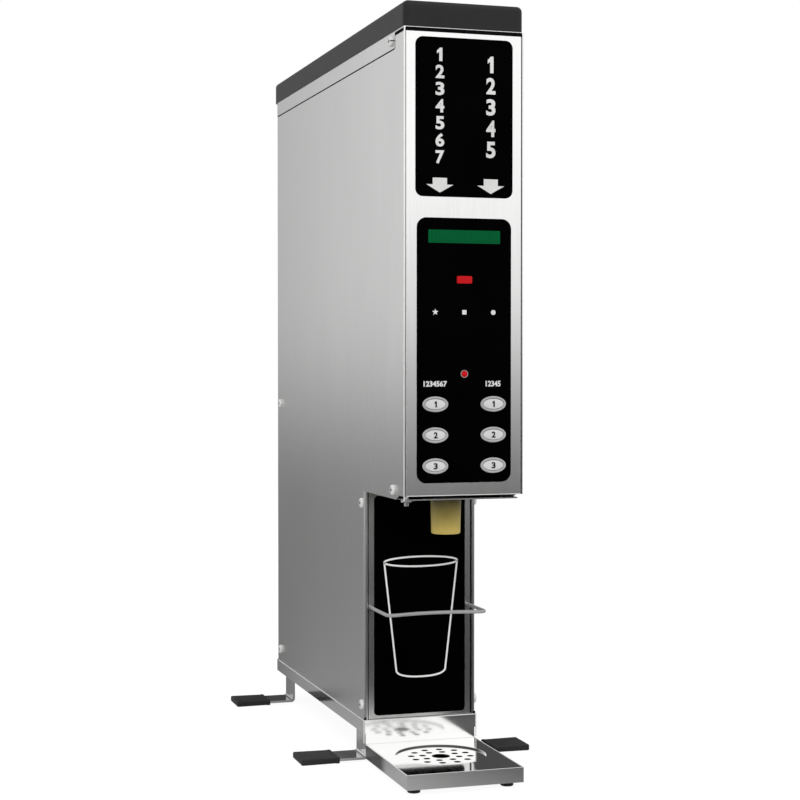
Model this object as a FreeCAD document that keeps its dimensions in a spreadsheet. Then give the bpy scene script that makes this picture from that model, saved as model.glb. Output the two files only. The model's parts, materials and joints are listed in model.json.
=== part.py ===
"""Countertop dispenser for dry sweetener: a tall narrow steel cabinet that pours two dry
products through one nozzle, by the portion, onto a cup that stands on the drip tray.

Lengths are millimetres. X runs across the cabinet, Y from the front to the rear and Z up.
Every piece is drawn with the face of the head at y = 0 and the table at z = 0, and one
Placement then moves it back, so that the origin lies under the middle of the machine.
"""
import FreeCAD, Part

import math
import os
from types import SimpleNamespace

import Sketcher

SIZES = {
    # cabinet
    "body_width": 114.0,
    "body_depth": 495.4,
    "sheet": 1.2,
    "fold": 1.5,            # outer radius of an ordinary bend in the sheet
    "seat": 0.3,            # gap left where two loose parts lie against each other
    "running": 0.05,        # radial clearance of a shaft in its bearing
    # heights, stacked from the table upwards
    "foot_height": 5.0,
    "tray_height": 14.0,
    "base_clearance": 29.3,
    "rail_height": 12.9,
    "cup_room": 222.6,      # from the rail up to the floor of the head
    "head_height": 425.0,   # from the floor of the head up to the plate under the lid
    "lid_height": 23.8,
    # depths
    "splash_setback": 130.0,
    "tray_overhang": 6.2,
    "lid_overhang": 13.2,
    "rail_overhang": 3.6,
    "rail_proud": 0.8,
    # side panels
    "strip_height": 15.0,   # steel edge of the top frame that shows under the lid
    "notch_front": 26.7,
    "notch_gap": 1.4,
    "notch_radius": 3.0,
    "cheek_lip": 3.7,       # return of the side panel on the front of the column
    "cheek_radius": 3.0,
    "head_edge": 0.8,       # radius of the side panel's front edge in the head
    "chamfer_front": 13.8,
    "chamfer_rear": 24.6,
    # front of the head
    "cover_reveal": 4.3,    # from the floor of the head up to the lip of the front cover
    "cover_gap": 3.5,       # from the top of the front cover up to the plate under the lid
    "cover_flange": 45.0,
    "cover_lip": 26.0,
    "film": 0.5,            # thickness of the labels and of the key film
    "label_width": 92.6,
    "label_height": 142.8,
    "label_below_top": 8.4,
    "label_corner": 7.0,
    "film_width": 90.0,
    "film_height": 239.0,
    "film_above_lip": 11.7,
    "film_corner": 9.0,
    # display
    "lcd_width": 68.6,
    "lcd_height": 11.8,
    "lcd_below_film": 16.8,
    "lcd_corner": 0.8,
    "lcd_seat": 1.0,
    "lcd_module_height": 24.0,
    "lcd_module_margin": 5.0,
    # keys
    "key_width": 25.2,
    "key_height": 15.0,
    "key_rim": 2.5,
    "key_rim_depth": 1.5,
    "key_stand": 1.2,       # how far a key face stands in front of the film
    "key_pitch": 27.9,
    "key_column": 27.7,
    "key_lowest": 15.3,     # from the lower edge of the film up to the lowest key
    "key_gap": 0.3,
    "key_flange": 1.5,
    "key_travel": 0.8,
    "key_stem_radius": 2.5,
    "cancel_width": 14.4,
    "cancel_height": 6.8,
    "cancel_corner": 1.4,
    "cancel_below_film": 55.6,
    "light_radius": 3.0,
    "light_rim": 0.6,
    "light_above_film_edge": 98.4,
    "board_gap": 9.0,       # from the face of the front cover back to the key board
    "board": 1.6,
    "board_margin": 1.5,
    "switch_size": 6.0,
    "stud_radius": 2.0,
    "stud_inset": 10.0,
    "board_low_gap": 3.0,
    # splash label and cup guide
    "splash_label_width": 93.0,
    "splash_label_low_gap": 3.6,
    "splash_label_top_gap": 5.0,
    "splash_flange": 22.0,
    "splash_label_corner": 4.0,
    "wire_radius": 1.7,
    "wire_height": 151.0,
    "wire_half_span": 49.0,
    "wire_reach": 56.0,
    "wire_hollow": 10.0,
    "wire_bend": 6.0,
    "wire_tail": 8.0,
    # tray
    "tray_width": 112.0,
    "tray_clearance": 0.4,
    "drain_setback": 66.0,
    "recess_radius": 43.0,
    "recess_depth": 1.5,
    "finger_hole_radius": 8.7,
    "drain_hole_radius": 3.3,
    "inner_ring_radius": 17.3,
    "outer_ring_radius": 28.0,
    "foot_radius": 6.0,
    "foot_inset": 11.0,
    "foot_setback": 8.5,
    # legs and boots
    "strap": 2.5,
    "strap_width": 34.0,
    "strap_half_gap": 50.3,
    "strap_bend": 3.0,
    "strap_flange": 24.0,
    "strap_reach": 115.5,
    "boot_length": 38.0,
    "boot_wall": 2.0,
    "boot_height": 6.0,
    "boot_radius": 1.2,
    "front_leg_setback": 156.0,
    "rear_leg_setback": 458.0,
    # lid
    "lid_wall": 2.5,
    "lid_corner": 5.5,
    "lid_edge": 5.0,
    "hinge_setback": 503.5,
    "hinge_rise": 6.2,
    "hinge_ear_radius": 3.3,
    "hinge_pin_radius": 1.5,
    "hinge_ear_half_gap": 36.0,
    "hinge_ear_width": 6.0,
    "hinge_play": 0.3,
    # hoppers
    "hopper_width": 52.0,
    "hopper_gap": 2.0,
    "hopper_wall": 2.0,
    "hopper_front": 28.0,
    "hopper_length": 372.0,
    "hopper_lip": 8.0,
    "hopper_lip_thickness": 1.5,
    "trough_radius": 15.0,
    "shoulder_rise": 26.0,
    "outlet_setback": 16.0,
    "outlet_length": 22.0,
    "outlet_width": 22.0,
    "spout_length": 6.0,
    # augers, agitators and gears
    "auger_height": 406.0,
    "auger_radius": 13.0,
    "auger_shaft": 4.0,
    "auger_pitch": 24.0,
    "auger_blade": 1.6,
    "spigot_radius": 3.0,
    "boss_radius": 6.0,
    "boss_length": 5.0,
    "paddle_reach": 19.0,
    "paddle_width": 8.0,
    "paddle_thickness": 3.0,
    "agitator_shaft": 3.0,
    "gear_module": 1.25,
    "gear_width": 8.0,
    "gear_gap": 3.0,
    "gear_backlash": 0.3,
    "mesh_gap": 0.1,
    "auger_teeth": 30,
    "agitator_teeth": 40,
    "pinion_teeth": 15,
    "gear_plate": 2.0,
    "gear_plate_height": 205.0,
    "gear_plate_foot": 22.0,
    "motor_radius": 17.0,
    "motor_length": 50.0,
    "motor_bore_depth": 9.0,
    # chute and nozzle
    "nozzle_setback": 52.0,
    "nozzle_top_radius": 14.6,
    "nozzle_tip_radius": 13.6,
    "nozzle_wall": 2.0,
    "nozzle_drop": 35.0,
    "nozzle_collar": 4.0,
    "nozzle_collar_height": 2.0,
    "chute_wall": 2.0,
    "chute_neck_radius": 12.0,
    "chute_neck_drop": 12.0,
    "chute_mouth_gap": 2.0,
    # deck and rear panel
    "deck_setback": 6.0,
    "deck_flange": 14.0,
    "rear_flange": 25.0,
    "vent_width": 60.0,
    "vent_height": 4.0,
    "vent_pitch": 12.0,
    "vent_rise": 190.0,
    "vent_count": 6,
    # electrics
    "supply_width": 92.0,
    "supply_length": 210.0,
    "supply_height": 78.0,
    "supply_setback": 175.0,
    "controller_width": 88.0,
    "controller_length": 210.0,
    "controller_setback": 160.0,
    "controller_spacer": 6.0,
    "inlet_width": 50.0,
    "inlet_height": 62.0,
    "inlet_rise": 56.0,
    "inlet_flange": 3.0,
    "inlet_border": 6.0,
    "inlet_depth": 28.0,
    "rocker_width": 19.0,
    "rocker_radius": 10.0,
    "rocker_play": 0.5,
    "rocker_tilt": 8.0,
    # fasteners
    "screw_radius": 2.4,
    "screw_head_radius": 4.8,
    "screw_head_height": 2.6,
    "screw_length": 3.7,
    "screw_clearance": 0.1,
    "screw_recess": 1.2,
    "screw_front_inset": 6.7,
    "screw_rear_inset": 15.0,
    "screw_top_inset": 11.6,
    "screw_low_rise": 14.0,
    "screw_middle_height": 342.0,
    "head_screw_setback": 32.2,
    "head_screw_rise": 8.3,
    "strip_screw_setback": 38.6,
    "thumb_radius": 5.0,
    "thumb_height": 2.2,
    "thumb_stub_radius": 2.2,
    "thumb_stub_length": 3.4,
    "thumb_inset": 8.3,
    "thumb_setback": 19.0,
}

doc = FreeCAD.newDocument("Dispenser")
sheet = doc.addObject("Spreadsheet::Sheet", "Sizes")
for row, (alias, number) in enumerate(SIZES.items(), start=1):
    sheet.set(f"A{row}", alias.replace("_", " "))
    sheet.set(f"B{row}", str(number))
    sheet.setAlias(f"B{row}", alias)
doc.recompute()


class Size:
    """A length that remembers the sheet expression it comes from."""

    def __init__(self, value, text):
        self.value = value
        self.text = text

    def __add__(self, other):
        other = as_size(other)
        return Size(self.value + other.value, f"({self.text} + {other.text})")

    def __sub__(self, other):
        other = as_size(other)
        return Size(self.value - other.value, f"({self.text} - {other.text})")

    def __mul__(self, other):
        other = as_size(other)
        return Size(self.value * other.value, f"({self.text} * {other.text})")

    def __truediv__(self, other):
        other = as_size(other)
        return Size(self.value / other.value, f"({self.text} / {other.text})")

    def __neg__(self):
        return Size(-self.value, f"(0 - {self.text})")

    def __radd__(self, other):
        return as_size(other) + self

    def __rsub__(self, other):
        return as_size(other) - self

    def __rmul__(self, other):
        return as_size(other) * self


def as_size(number):
    """Give a plain number the same form as a size of the sheet."""
    if isinstance(number, Size):
        return number
    return Size(number, repr(number))


s = SimpleNamespace(**{alias: Size(sheet.get(alias), f"Sizes.{alias}") for alias in SIZES})

# ---------------------------------------------------------------- places worked out once
half_width = s.body_width / 2
inside = half_width - s.sheet                   # inner face of a side panel
frame_half = inside - s.seat                    # outer face of whatever stands inside it
tray_bottom = s.foot_height
tray_top = tray_bottom + s.tray_height
floor_bottom = s.base_clearance
floor_top = floor_bottom + s.sheet
rail_top = s.base_clearance + s.rail_height
panel_bottom = rail_top + s.seat
deck_bottom = rail_top + s.cup_room
deck_top = deck_bottom + s.sheet
plate_top = deck_bottom + s.head_height         # plate of the top frame, under the lid
plate_bottom = plate_top - s.sheet
strip_bottom = plate_top - s.strip_height
cover_bottom = deck_bottom + s.cover_reveal
cover_top = plate_top - s.cover_gap
lid_top = plate_top + s.lid_height
rear_face = s.body_depth
lid_rear = rear_face + s.lid_overhang
tray_front = -s.tray_overhang
datum = (lid_rear + tray_front) / 2             # middle of the machine, front to rear
apron_front = s.splash_setback - s.sheet
splash_face = s.splash_setback + s.sheet + s.seat
film_bottom = cover_bottom + s.film_above_lip
film_top = film_bottom + s.film_height
board_front = s.board_gap
channel_x = (s.hopper_width + s.hopper_gap) / 2
hopper_rear = s.hopper_front + s.hopper_length
gear_front = hopper_rear + s.gear_gap
gear_rear = gear_front + s.gear_width
gear_plate_front = gear_rear + s.gear_gap
gear_plate_rear = gear_plate_front + s.gear_plate
auger_z = s.auger_height
agitator_z = auger_z + (s.auger_teeth + s.agitator_teeth) * s.gear_module / 2 + s.mesh_gap
pinion_z = auger_z - (s.auger_teeth + s.pinion_teeth) * s.gear_module / 2 - s.mesh_gap
nozzle_tip = deck_bottom - s.nozzle_drop
screw_hole = s.screw_radius + s.screw_clearance
SIDES = {"left": -1, "right": 1}

nodes = []


# ---------------------------------------------------------------- drawing helpers
def bind(thing, path, length):
    """Tie one property of a document object to the sheet."""
    thing.setExpression(path, as_size(length).text)


def finish(thing, label):
    """Name a finished piece and move it back over the middle of the machine."""
    thing.Label = label
    bind(thing, "Placement.Base.y", -datum)
    nodes.append(thing)
    return thing


def new_body(label):
    """Start a PartDesign body for one piece."""
    return finish(doc.addObject("PartDesign::Body", label), label)


def new_sketch(body, role, level, across=0, up=0):
    """Put a sketch on the body's own plane, at a level along it and with its own origin."""
    drawing = body.newObject("Sketcher::SketchObject", body.Name + "_sketch")
    plane = [feature for feature in body.Origin.OriginFeatures if feature.Role == role][0]
    drawing.AttachmentSupport = [(plane, "")]
    drawing.MapMode = "FlatFace"
    outward = -1 if role == "XZ_Plane" else 1
    bind(drawing, "AttachmentOffset.Base.x", across)
    bind(drawing, "AttachmentOffset.Base.y", up)
    bind(drawing, "AttachmentOffset.Base.z", outward * as_size(level))
    return drawing


def dimension(drawing, kind, place, length, name):
    """Add a named dimension to a sketch and tie it to the sheet."""
    length = as_size(length)
    index = drawing.addConstraint(Sketcher.Constraint(kind, *place, length.value))
    drawing.renameConstraint(index, name)
    bind(drawing, f"Constraints.{name}", length)


def outline(*points):
    """Return a function that draws a closed outline of straight lines."""
    def draw(drawing):
        first = drawing.GeometryCount
        flat = [(as_size(x), as_size(y)) for x, y in points]
        spots = [FreeCAD.Vector(x.value, y.value, 0) for x, y in flat]
        for start, end in zip(spots, spots[1:] + spots[:1]):
            drawing.addGeometry(Part.LineSegment(start, end), False)
        for step, (x, y) in enumerate(flat):
            line = first + step
            following = first + (step + 1) % len(flat)
            drawing.addConstraint(Sketcher.Constraint("Coincident", line, 2, following, 1))
            dimension(drawing, "DistanceX", (line, 1), x, f"x{line}")
            dimension(drawing, "DistanceY", (line, 1), y, f"y{line}")
    return draw


def rectangle(left, right, bottom, top):
    """Return a function that draws a plain rectangle."""
    return outline((left, bottom), (right, bottom), (right, top), (left, top))


def rounded(left, right, bottom, top, corner):
    """Return a function that draws a rectangle with round corners."""
    def draw(drawing):
        first = drawing.GeometryCount
        x0, x1, y0, y1, r = (as_size(edge).value for edge in (left, right, bottom, top, corner))
        lines = [((x0 + r, y0), (x1 - r, y0)), ((x1, y0 + r), (x1, y1 - r)),
                 ((x1 - r, y1), (x0 + r, y1)), ((x0, y1 - r), (x0, y0 + r))]
        centres = [(x1 - r, y0 + r), (x1 - r, y1 - r), (x0 + r, y1 - r), (x0 + r, y0 + r)]
        for turn, (line, centre) in enumerate(zip(lines, centres)):
            start, end = (FreeCAD.Vector(x, y, 0) for x, y in line)
            drawing.addGeometry(Part.LineSegment(start, end), False)
            circle = Part.Circle(FreeCAD.Vector(*centre, 0), FreeCAD.Vector(0, 0, 1), r)
            angle = (turn - 1) * math.pi / 2
            drawing.addGeometry(Part.ArcOfCircle(circle, angle, angle + math.pi / 2), False)
        for step in range(8):
            here = first + step
            following = first + (step + 1) % 8
            drawing.addConstraint(Sketcher.Constraint("Tangent", here, 2, following, 1))
        for step, kind in enumerate(("Horizontal", "Vertical", "Horizontal", "Vertical")):
            drawing.addConstraint(Sketcher.Constraint(kind, first + 2 * step))
        for step in (3, 5, 7):
            drawing.addConstraint(Sketcher.Constraint("Equal", first + 1, first + step))
        dimension(drawing, "Radius", (first + 1,), corner, f"corner{first}")
        dimension(drawing, "DistanceY", (first, 1), bottom, f"bottom{first}")
        dimension(drawing, "DistanceX", (first + 2, 1), right, f"right{first}")
        dimension(drawing, "DistanceY", (first + 4, 1), top, f"top{first}")
        dimension(drawing, "DistanceX", (first + 6, 1), left, f"left{first}")
    return draw


def disc(x, y, radius):
    """Return a function that draws a circle."""
    def draw(drawing):
        place = FreeCAD.Vector(as_size(x).value, as_size(y).value, 0)
        circle = Part.Circle(place, FreeCAD.Vector(0, 0, 1), as_size(radius).value)
        index = drawing.addGeometry(circle, False)
        dimension(drawing, "Radius", (index,), radius, f"radius{index}")
        dimension(drawing, "DistanceX", (index, 3), x, f"x{index}")
        dimension(drawing, "DistanceY", (index, 3), y, f"y{index}")
    return draw


def oval(x, y, width, height):
    """Return a function that draws an ellipse whose long axis is level."""
    def draw(drawing):
        centre = FreeCAD.Vector(as_size(x).value, as_size(y).value, 0)
        end = centre + FreeCAD.Vector(as_size(width).value / 2, 0, 0)
        side = centre + FreeCAD.Vector(0, as_size(height).value / 2, 0)
        index = drawing.addGeometry(Part.Ellipse(end, side, centre), False)
        drawing.exposeInternalGeometry(index)
        drawing.addConstraint(Sketcher.Constraint("Horizontal", index + 1))
        dimension(drawing, "Distance", (index + 1,), width, f"width{index}")
        dimension(drawing, "Distance", (index + 2,), height, f"height{index}")
        dimension(drawing, "DistanceX", (index, 3), x, f"x{index}")
        dimension(drawing, "DistanceY", (index, 3), y, f"y{index}")
    return draw


def draw_all(body, role, level, profiles):
    """Draw several outlines on one sketch."""
    drawing = new_sketch(body, role, level)
    for profile in profiles:
        profile(drawing)
    return drawing


def pad(body, role, low, high, *profiles):
    """Fill the outlines from one level to a higher one, along the plane's axis."""
    level = high if role == "XZ_Plane" else low
    feature = body.newObject("PartDesign::Pad", body.Name + "_pad")
    feature.Profile = draw_all(body, role, level, profiles)
    bind(feature, "Length", as_size(high) - low)
    return feature


def pocket(body, role, low, high, *profiles):
    """Cut the outlines out from one level to a higher one, along the plane's axis."""
    level = low if role == "XZ_Plane" else high
    feature = body.newObject("PartDesign::Pocket", body.Name + "_pocket")
    feature.Profile = draw_all(body, role, level, profiles)
    bind(feature, "Length", as_size(high) - low)
    return feature


def lathe(body, axis, first, second, *points):
    """Turn an outline about an axis that passes through the two given coordinates.

    The outline is (radius, z) about Z at (x, y), and (y, radius) about Y at (x, z).
    """
    if axis == "Z":
        drawing = new_sketch(body, "XZ_Plane", second, across=first)
    else:
        drawing = new_sketch(body, "YZ_Plane", first, up=second)
    outline(*points)(drawing)
    feature = body.newObject("PartDesign::Revolution", body.Name + "_turned")
    feature.Profile = drawing
    feature.ReferenceAxis = (drawing, ["V_Axis" if axis == "Z" else "H_Axis"])
    feature.Angle = 360
    return feature


def soften(body, radius, wanted, kind="Fillet"):
    """Round or chamfer the edges of the body that a test picks out."""
    doc.recompute()
    base = body.Tip
    names = [f"Edge{number}" for number, edge in enumerate(base.Shape.Edges, start=1) if wanted(edge)]
    if not names:
        raise RuntimeError(f"{body.Label}: no edge to round")
    feature = body.newObject(f"PartDesign::{kind}", f"{body.Name}_{kind.lower()}")
    feature.Base = (base, names)
    bind(feature, "Radius" if kind == "Fillet" else "Size", radius)
    return feature


def same(first, second):
    """Tell whether two coordinates are the same to the eye of the modeller."""
    return abs(first - as_size(second).value) < 0.01


def runs_along(edge, axis):
    """Tell whether an edge is straight and parallel to one axis."""
    if edge.Curve.TypeId != "Part::GeomLine":
        return False
    way = edge.Curve.Direction
    return abs(abs(getattr(way, axis)) - 1) < 1e-6


def edge_at(axis, **places):
    """Return a test for straight edges along an axis that lie at the given coordinates."""
    def wanted(edge):
        centre = edge.CenterOfMass
        return runs_along(edge, axis) and all(
            any(same(getattr(centre, name), value) for value in values)
            for name, values in places.items())
    return wanted


def lies_in(axis, place):
    """Return a test for edges that lie wholly in one plane."""
    low, high = axis.upper() + "Min", axis.upper() + "Max"
    return lambda edge: (same(getattr(edge.BoundBox, low), place)
                         and same(getattr(edge.BoundBox, high), place))


def block(x, y, z):
    """Make a solid box from its three pairs of coordinates, for pieces built by formula."""
    corner = FreeCAD.Vector(x[0], y[0], z[0])
    return Part.makeBox(x[1] - x[0], y[1] - y[0], z[1] - z[0], corner)


def shaped(label, shape):
    """Add a piece whose shape a formula has made."""
    thing = doc.addObject("Part::Feature", label)
    thing.Shape = shape
    return finish(thing, label)


def span(sign, near, far):
    """Order two distances from the middle plane, for the left or the right side."""
    return (near, far) if sign > 0 else (-as_size(far), -as_size(near))


# ---------------------------------------------------------------- cabinet
def panel_screws():
    """Give the places (y, z) of the screws that hold one side panel."""
    front = s.splash_setback + s.screw_front_inset
    rear = rear_face - s.screw_rear_inset
    low = panel_bottom + s.screw_low_rise
    return {
        "head": [(s.head_screw_setback, deck_bottom + s.head_screw_rise)],
        "column": [(front, deck_bottom - s.screw_top_inset), (front, low)],
        "rear": [(rear, s.screw_middle_height), (rear, low)],
    }


strip_screw = (s.strip_screw_setback, plate_top - s.strip_height / 2)


def drill_sides(body, sign, depth, places):
    """Drill the screw holes through one upright side of a piece."""
    for y, z in places:
        low, high = span(sign, depth[0], depth[1])
        pocket(body, "YZ_Plane", low, high, disc(y, z, screw_hole))


def make_side_panel(side, sign):
    """Make a side panel: an L of sheet, narrow column below and full depth in the head."""
    body = new_body(f"side_panel_{side}")
    front, back = s.splash_setback, s.splash_setback + s.sheet
    lip = half_width - s.cheek_lip
    pad(body, "XY_Plane", panel_bottom, deck_bottom, outline(
        (sign * lip, front), (sign * half_width, front), (sign * half_width, rear_face),
        (sign * inside, rear_face), (sign * inside, back), (sign * lip, back)))
    soften(body, s.cheek_radius, edge_at("z", x=[sign * half_width], y=[front]))
    soften(body, s.cheek_radius - s.sheet, edge_at("z", x=[sign * inside], y=[back]))
    low, high = span(sign, inside, half_width)
    step = strip_bottom - s.notch_gap
    pad(body, "YZ_Plane", low, high, outline(
        (rear_face, deck_bottom), (rear_face, step), (s.notch_front, step),
        (s.notch_front, plate_bottom), (0, plate_bottom), (0, cover_bottom),
        (s.chamfer_front, cover_bottom), (s.chamfer_rear, deck_bottom)))
    soften(body, s.notch_radius, edge_at("x", y=[s.notch_front], z=[step]))
    soften(body, s.head_edge, edge_at("z", x=[sign * half_width], y=[0]))
    for places in panel_screws().values():
        drill_sides(body, sign, (inside, half_width), places)


def channel(x_half, face, rear):
    """Return the outline of a sheet folded into a U, open towards the given rear coordinate."""
    inner = x_half - s.sheet
    back = face + s.sheet if rear.value > face.value else face - s.sheet
    return outline((-x_half, rear), (-x_half, face), (x_half, face), (x_half, rear),
                   (inner, rear), (inner, back), (-inner, back), (-inner, rear))


def make_channel(body, x_half, face, rear, low, high):
    """Fold a sheet into an upright U and round its two bends."""
    pad(body, "XY_Plane", low, high, channel(x_half, face, rear))
    soften(body, s.fold, edge_at("z", x=[x_half, -x_half], y=[face]))


def make_front_cover():
    """Make the front cover of the head, with its lips, studs and openings for the keys."""
    body = new_body("front_cover")
    front = as_size(0)
    make_channel(body, frame_half, front, s.cover_flange, cover_bottom, cover_top)
    lip_half = frame_half - s.sheet
    for low, high in ((cover_bottom, cover_bottom + s.sheet), (cover_top - s.sheet, cover_top)):
        pad(body, "XY_Plane", low, high, rectangle(-lip_half, lip_half, s.sheet / 2, s.cover_lip))
    for x in (-stud_x, stud_x):
        for z in stud_heights:
            pad(body, "XZ_Plane", s.sheet / 2, board_front, disc(x, z, s.stud_radius))
    window_half = s.lcd_width / 2 - s.lcd_seat
    window_rise = s.lcd_height / 2 - s.lcd_seat
    pocket(body, "XZ_Plane", 0, s.sheet,
           rectangle(-window_half, window_half, lcd_z - window_rise, lcd_z + window_rise))
    pocket(body, "XZ_Plane", 0, s.sheet, *key_openings())
    for sign in SIDES.values():
        drill_sides(body, sign, (lip_half, frame_half), [strip_screw] + panel_screws()["head"])
    pocket(body, "XY_Plane", cover_bottom, cover_bottom + s.sheet,
           disc(thumb_x, s.thumb_setback, screw_hole))


def make_splash_panel():
    """Make the panel behind the cup, a channel that stands on the base and carries the deck."""
    body = new_body("splash_panel")
    rear = splash_face + s.splash_flange
    make_channel(body, frame_half, splash_face, rear, floor_top, deck_bottom)
    lip_half = frame_half - s.sheet
    pad(body, "XY_Plane", deck_bottom - s.sheet, deck_bottom,
        rectangle(-lip_half, lip_half, splash_face + s.sheet / 2, rear))
    for x in (-s.wire_half_span, s.wire_half_span):
        pocket(body, "XZ_Plane", splash_face, splash_face + s.sheet,
               disc(x, s.wire_height, s.wire_radius + s.running))
    for sign in SIDES.values():
        drill_sides(body, sign, (lip_half, frame_half), panel_screws()["column"])


def make_rear_panel():
    """Make the rear panel, a channel with vents and the opening for the power inlet."""
    body = new_body("rear_panel")
    front = rear_face - s.rear_flange
    make_channel(body, frame_half, rear_face, front, floor_top, plate_bottom)
    vents = s.vent_width / 2
    for slot in range(int(s.vent_count.value)):
        z = s.vent_rise + slot * s.vent_pitch
        pocket(body, "XZ_Plane", rear_face - s.sheet, rear_face,
               rounded(-vents, vents, z, z + s.vent_height, s.vent_height * 0.45))
    opening = s.inlet_width / 2 - s.inlet_border
    pocket(body, "XZ_Plane", rear_face - s.sheet, rear_face,
           rectangle(-opening, opening, inlet_low + s.inlet_border, inlet_high - s.inlet_border))
    for sign in SIDES.values():
        drill_sides(body, sign, (frame_half - s.sheet, frame_half), panel_screws()["rear"])


def make_deck():
    """Make the floor of the head, which runs on to the rear and carries the drives."""
    body = new_body("deck")
    rear = rear_face - s.sheet
    pad(body, "XY_Plane", deck_bottom, deck_top, rectangle(-deck_half, deck_half, s.deck_setback, rear))
    for sign in SIDES.values():
        low, high = span(sign, deck_half - s.sheet, deck_half)
        pad(body, "XY_Plane", deck_top, deck_top + s.deck_flange,
            rectangle(low, high, s.cover_flange + s.sheet, rear))
    pocket(body, "XY_Plane", deck_bottom, deck_top,
           disc(0, s.nozzle_setback, s.nozzle_top_radius + s.screw_clearance),
           disc(thumb_x, s.thumb_setback, screw_hole))


def make_base_frame():
    """Make the base: a pan of sheet with low walls and a polished apron in front."""
    body = new_body("base_frame")
    rear = rear_face + s.rail_overhang
    inner_radius = s.fold - s.sheet
    pad(body, "XY_Plane", floor_bottom, floor_top,
        rounded(-rail_half, rail_half, apron_front, rear, s.fold))
    pad(body, "XY_Plane", floor_top, rail_top,
        rounded(-rail_half, rail_half, apron_front, rear, s.fold),
        rounded(s.sheet - rail_half, rail_half - s.sheet, apron_front + s.sheet,
                rear - s.sheet, inner_radius))
    pad(body, "XY_Plane", tray_bottom, floor_bottom,
        rectangle(-inside, inside, apron_front, apron_front + s.sheet))
    for leg_y in leg_places.values():
        for sign in SIDES.values():
            for y in leg_screw_rows(leg_y):
                pocket(body, "XY_Plane", floor_bottom, floor_top, disc(sign * leg_screw_x, y, screw_hole))


def make_top_frame():
    """Make the frame under the lid, whose edges show as a steel strip on the sides."""
    body = new_body("top_frame")
    rear = rear_face + s.sheet
    front = s.notch_front + s.notch_gap
    pad(body, "XY_Plane", plate_bottom, plate_top, rectangle(-half_width, half_width, 0, rear))
    for sign in SIDES.values():
        low, high = span(sign, inside, half_width)
        pad(body, "YZ_Plane", low, high, rectangle(front, rear, strip_bottom, plate_bottom))
    pad(body, "XZ_Plane", rear_face, rear,
        rectangle(-half_width, half_width, strip_bottom, plate_bottom))
    soften(body, s.notch_radius, edge_at("x", y=[front], z=[strip_bottom]))
    window = s.hopper_width + s.hopper_gap / 2 + s.seat
    pocket(body, "XY_Plane", plate_bottom, plate_top,
           rectangle(-window, window, s.hopper_front - s.seat, hopper_rear + s.seat))
    ear_root = rear_face - s.rear_flange / 2
    for sign in SIDES.values():
        drill_sides(body, sign, (inside, half_width), [strip_screw])
        low, high = span(sign, s.hinge_ear_half_gap, s.hinge_ear_half_gap + s.hinge_ear_width)
        ear_low, ear_high = hinge_z - s.hinge_ear_radius, hinge_z + s.hinge_ear_radius
        pad(body, "YZ_Plane", low, high, rectangle(ear_root, rear_face, plate_top, ear_high))
        pad(body, "YZ_Plane", low, high, rectangle(ear_root, s.hinge_setback, ear_low, ear_high))
        pad(body, "YZ_Plane", low, high, disc(s.hinge_setback, hinge_z, s.hinge_ear_radius))
        pocket(body, "YZ_Plane", low, high, disc(s.hinge_setback, hinge_z, s.hinge_pin_radius))


# ---------------------------------------------------------------- lid
def make_lid():
    """Make the moulded lid, a shallow cap with round edges that turns on two rear lugs."""
    body = new_body("lid")
    low = plate_top + s.seat
    pad(body, "XY_Plane", low, lid_top, rounded(-half_width, half_width, 0, lid_rear, s.lid_corner))
    soften(body, s.lid_edge, lies_in("z", lid_top))
    inner = half_width - s.lid_wall
    ceiling = lid_top - s.lid_wall
    pocket(body, "XY_Plane", low, ceiling, rounded(
        -inner, inner, s.lid_wall, lid_rear - s.lid_wall, s.lid_corner - s.lid_wall))
    for sign in SIDES.values():
        lug_out = s.hinge_ear_half_gap - s.hinge_play
        lug_low, lug_high = span(sign, lug_out - s.hinge_ear_width, lug_out)
        radius = s.hinge_ear_radius
        pad(body, "YZ_Plane", lug_low, lug_high, rectangle(
            s.hinge_setback - radius, s.hinge_setback + radius, hinge_z, ceiling + s.lid_wall / 2))
        pad(body, "YZ_Plane", lug_low, lug_high, disc(s.hinge_setback, hinge_z, radius))
        pocket(body, "YZ_Plane", lug_low, lug_high,
               disc(s.hinge_setback, hinge_z, s.hinge_pin_radius + s.running))
        slot_low, slot_high = span(sign, lug_out, lug_out + s.hinge_ear_width + 2 * s.hinge_play)
        pocket(body, "XZ_Plane", lid_rear - s.lid_wall, lid_rear, rectangle(
            slot_low, slot_high, low, hinge_z + radius + s.fold))


def make_hinge_pins():
    """Make the two pins that join the lugs of the lid to the ears of the top frame."""
    body = new_body("hinge_pins")
    for sign in SIDES.values():
        reach = s.hinge_ear_width + s.hinge_play
        low, high = span(sign, s.hinge_ear_half_gap - reach, s.hinge_ear_half_gap + s.hinge_ear_width)
        pad(body, "YZ_Plane", low, high, disc(s.hinge_setback, hinge_z, s.hinge_pin_radius))


# ---------------------------------------------------------------- front of the head
def key_places():
    """Give the centre (x, z) of each dose key, the left column first, from the top down."""
    places = []
    for x in (-s.key_column, s.key_column):
        for row in (2, 1, 0):
            places.append((x, film_bottom + s.key_lowest + row * s.key_pitch))
    return places


def dose_outline(place, growth=0):
    """Return the oval opening of a dose key, grown all round by growth."""
    outer = 2 * growth - 2 * s.key_rim
    return oval(*place, s.key_width + outer, s.key_height + outer)


def cancel_outline(place, growth=0):
    """Return the opening of the cancel key, grown all round by growth."""
    x, z = place
    margin = s.key_gap + growth
    half, rise = s.cancel_width / 2 + margin, s.cancel_height / 2 + margin
    return rounded(x - half, x + half, z - rise, z + rise, s.cancel_corner)


def key_openings():
    """Return the outlines of every opening that a key or the light passes through."""
    openings = [dose_outline(place) for place in key_places()]
    openings.append(cancel_outline(cancel_place))
    openings.append(disc(0, light_z, s.light_radius))
    return openings


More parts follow.
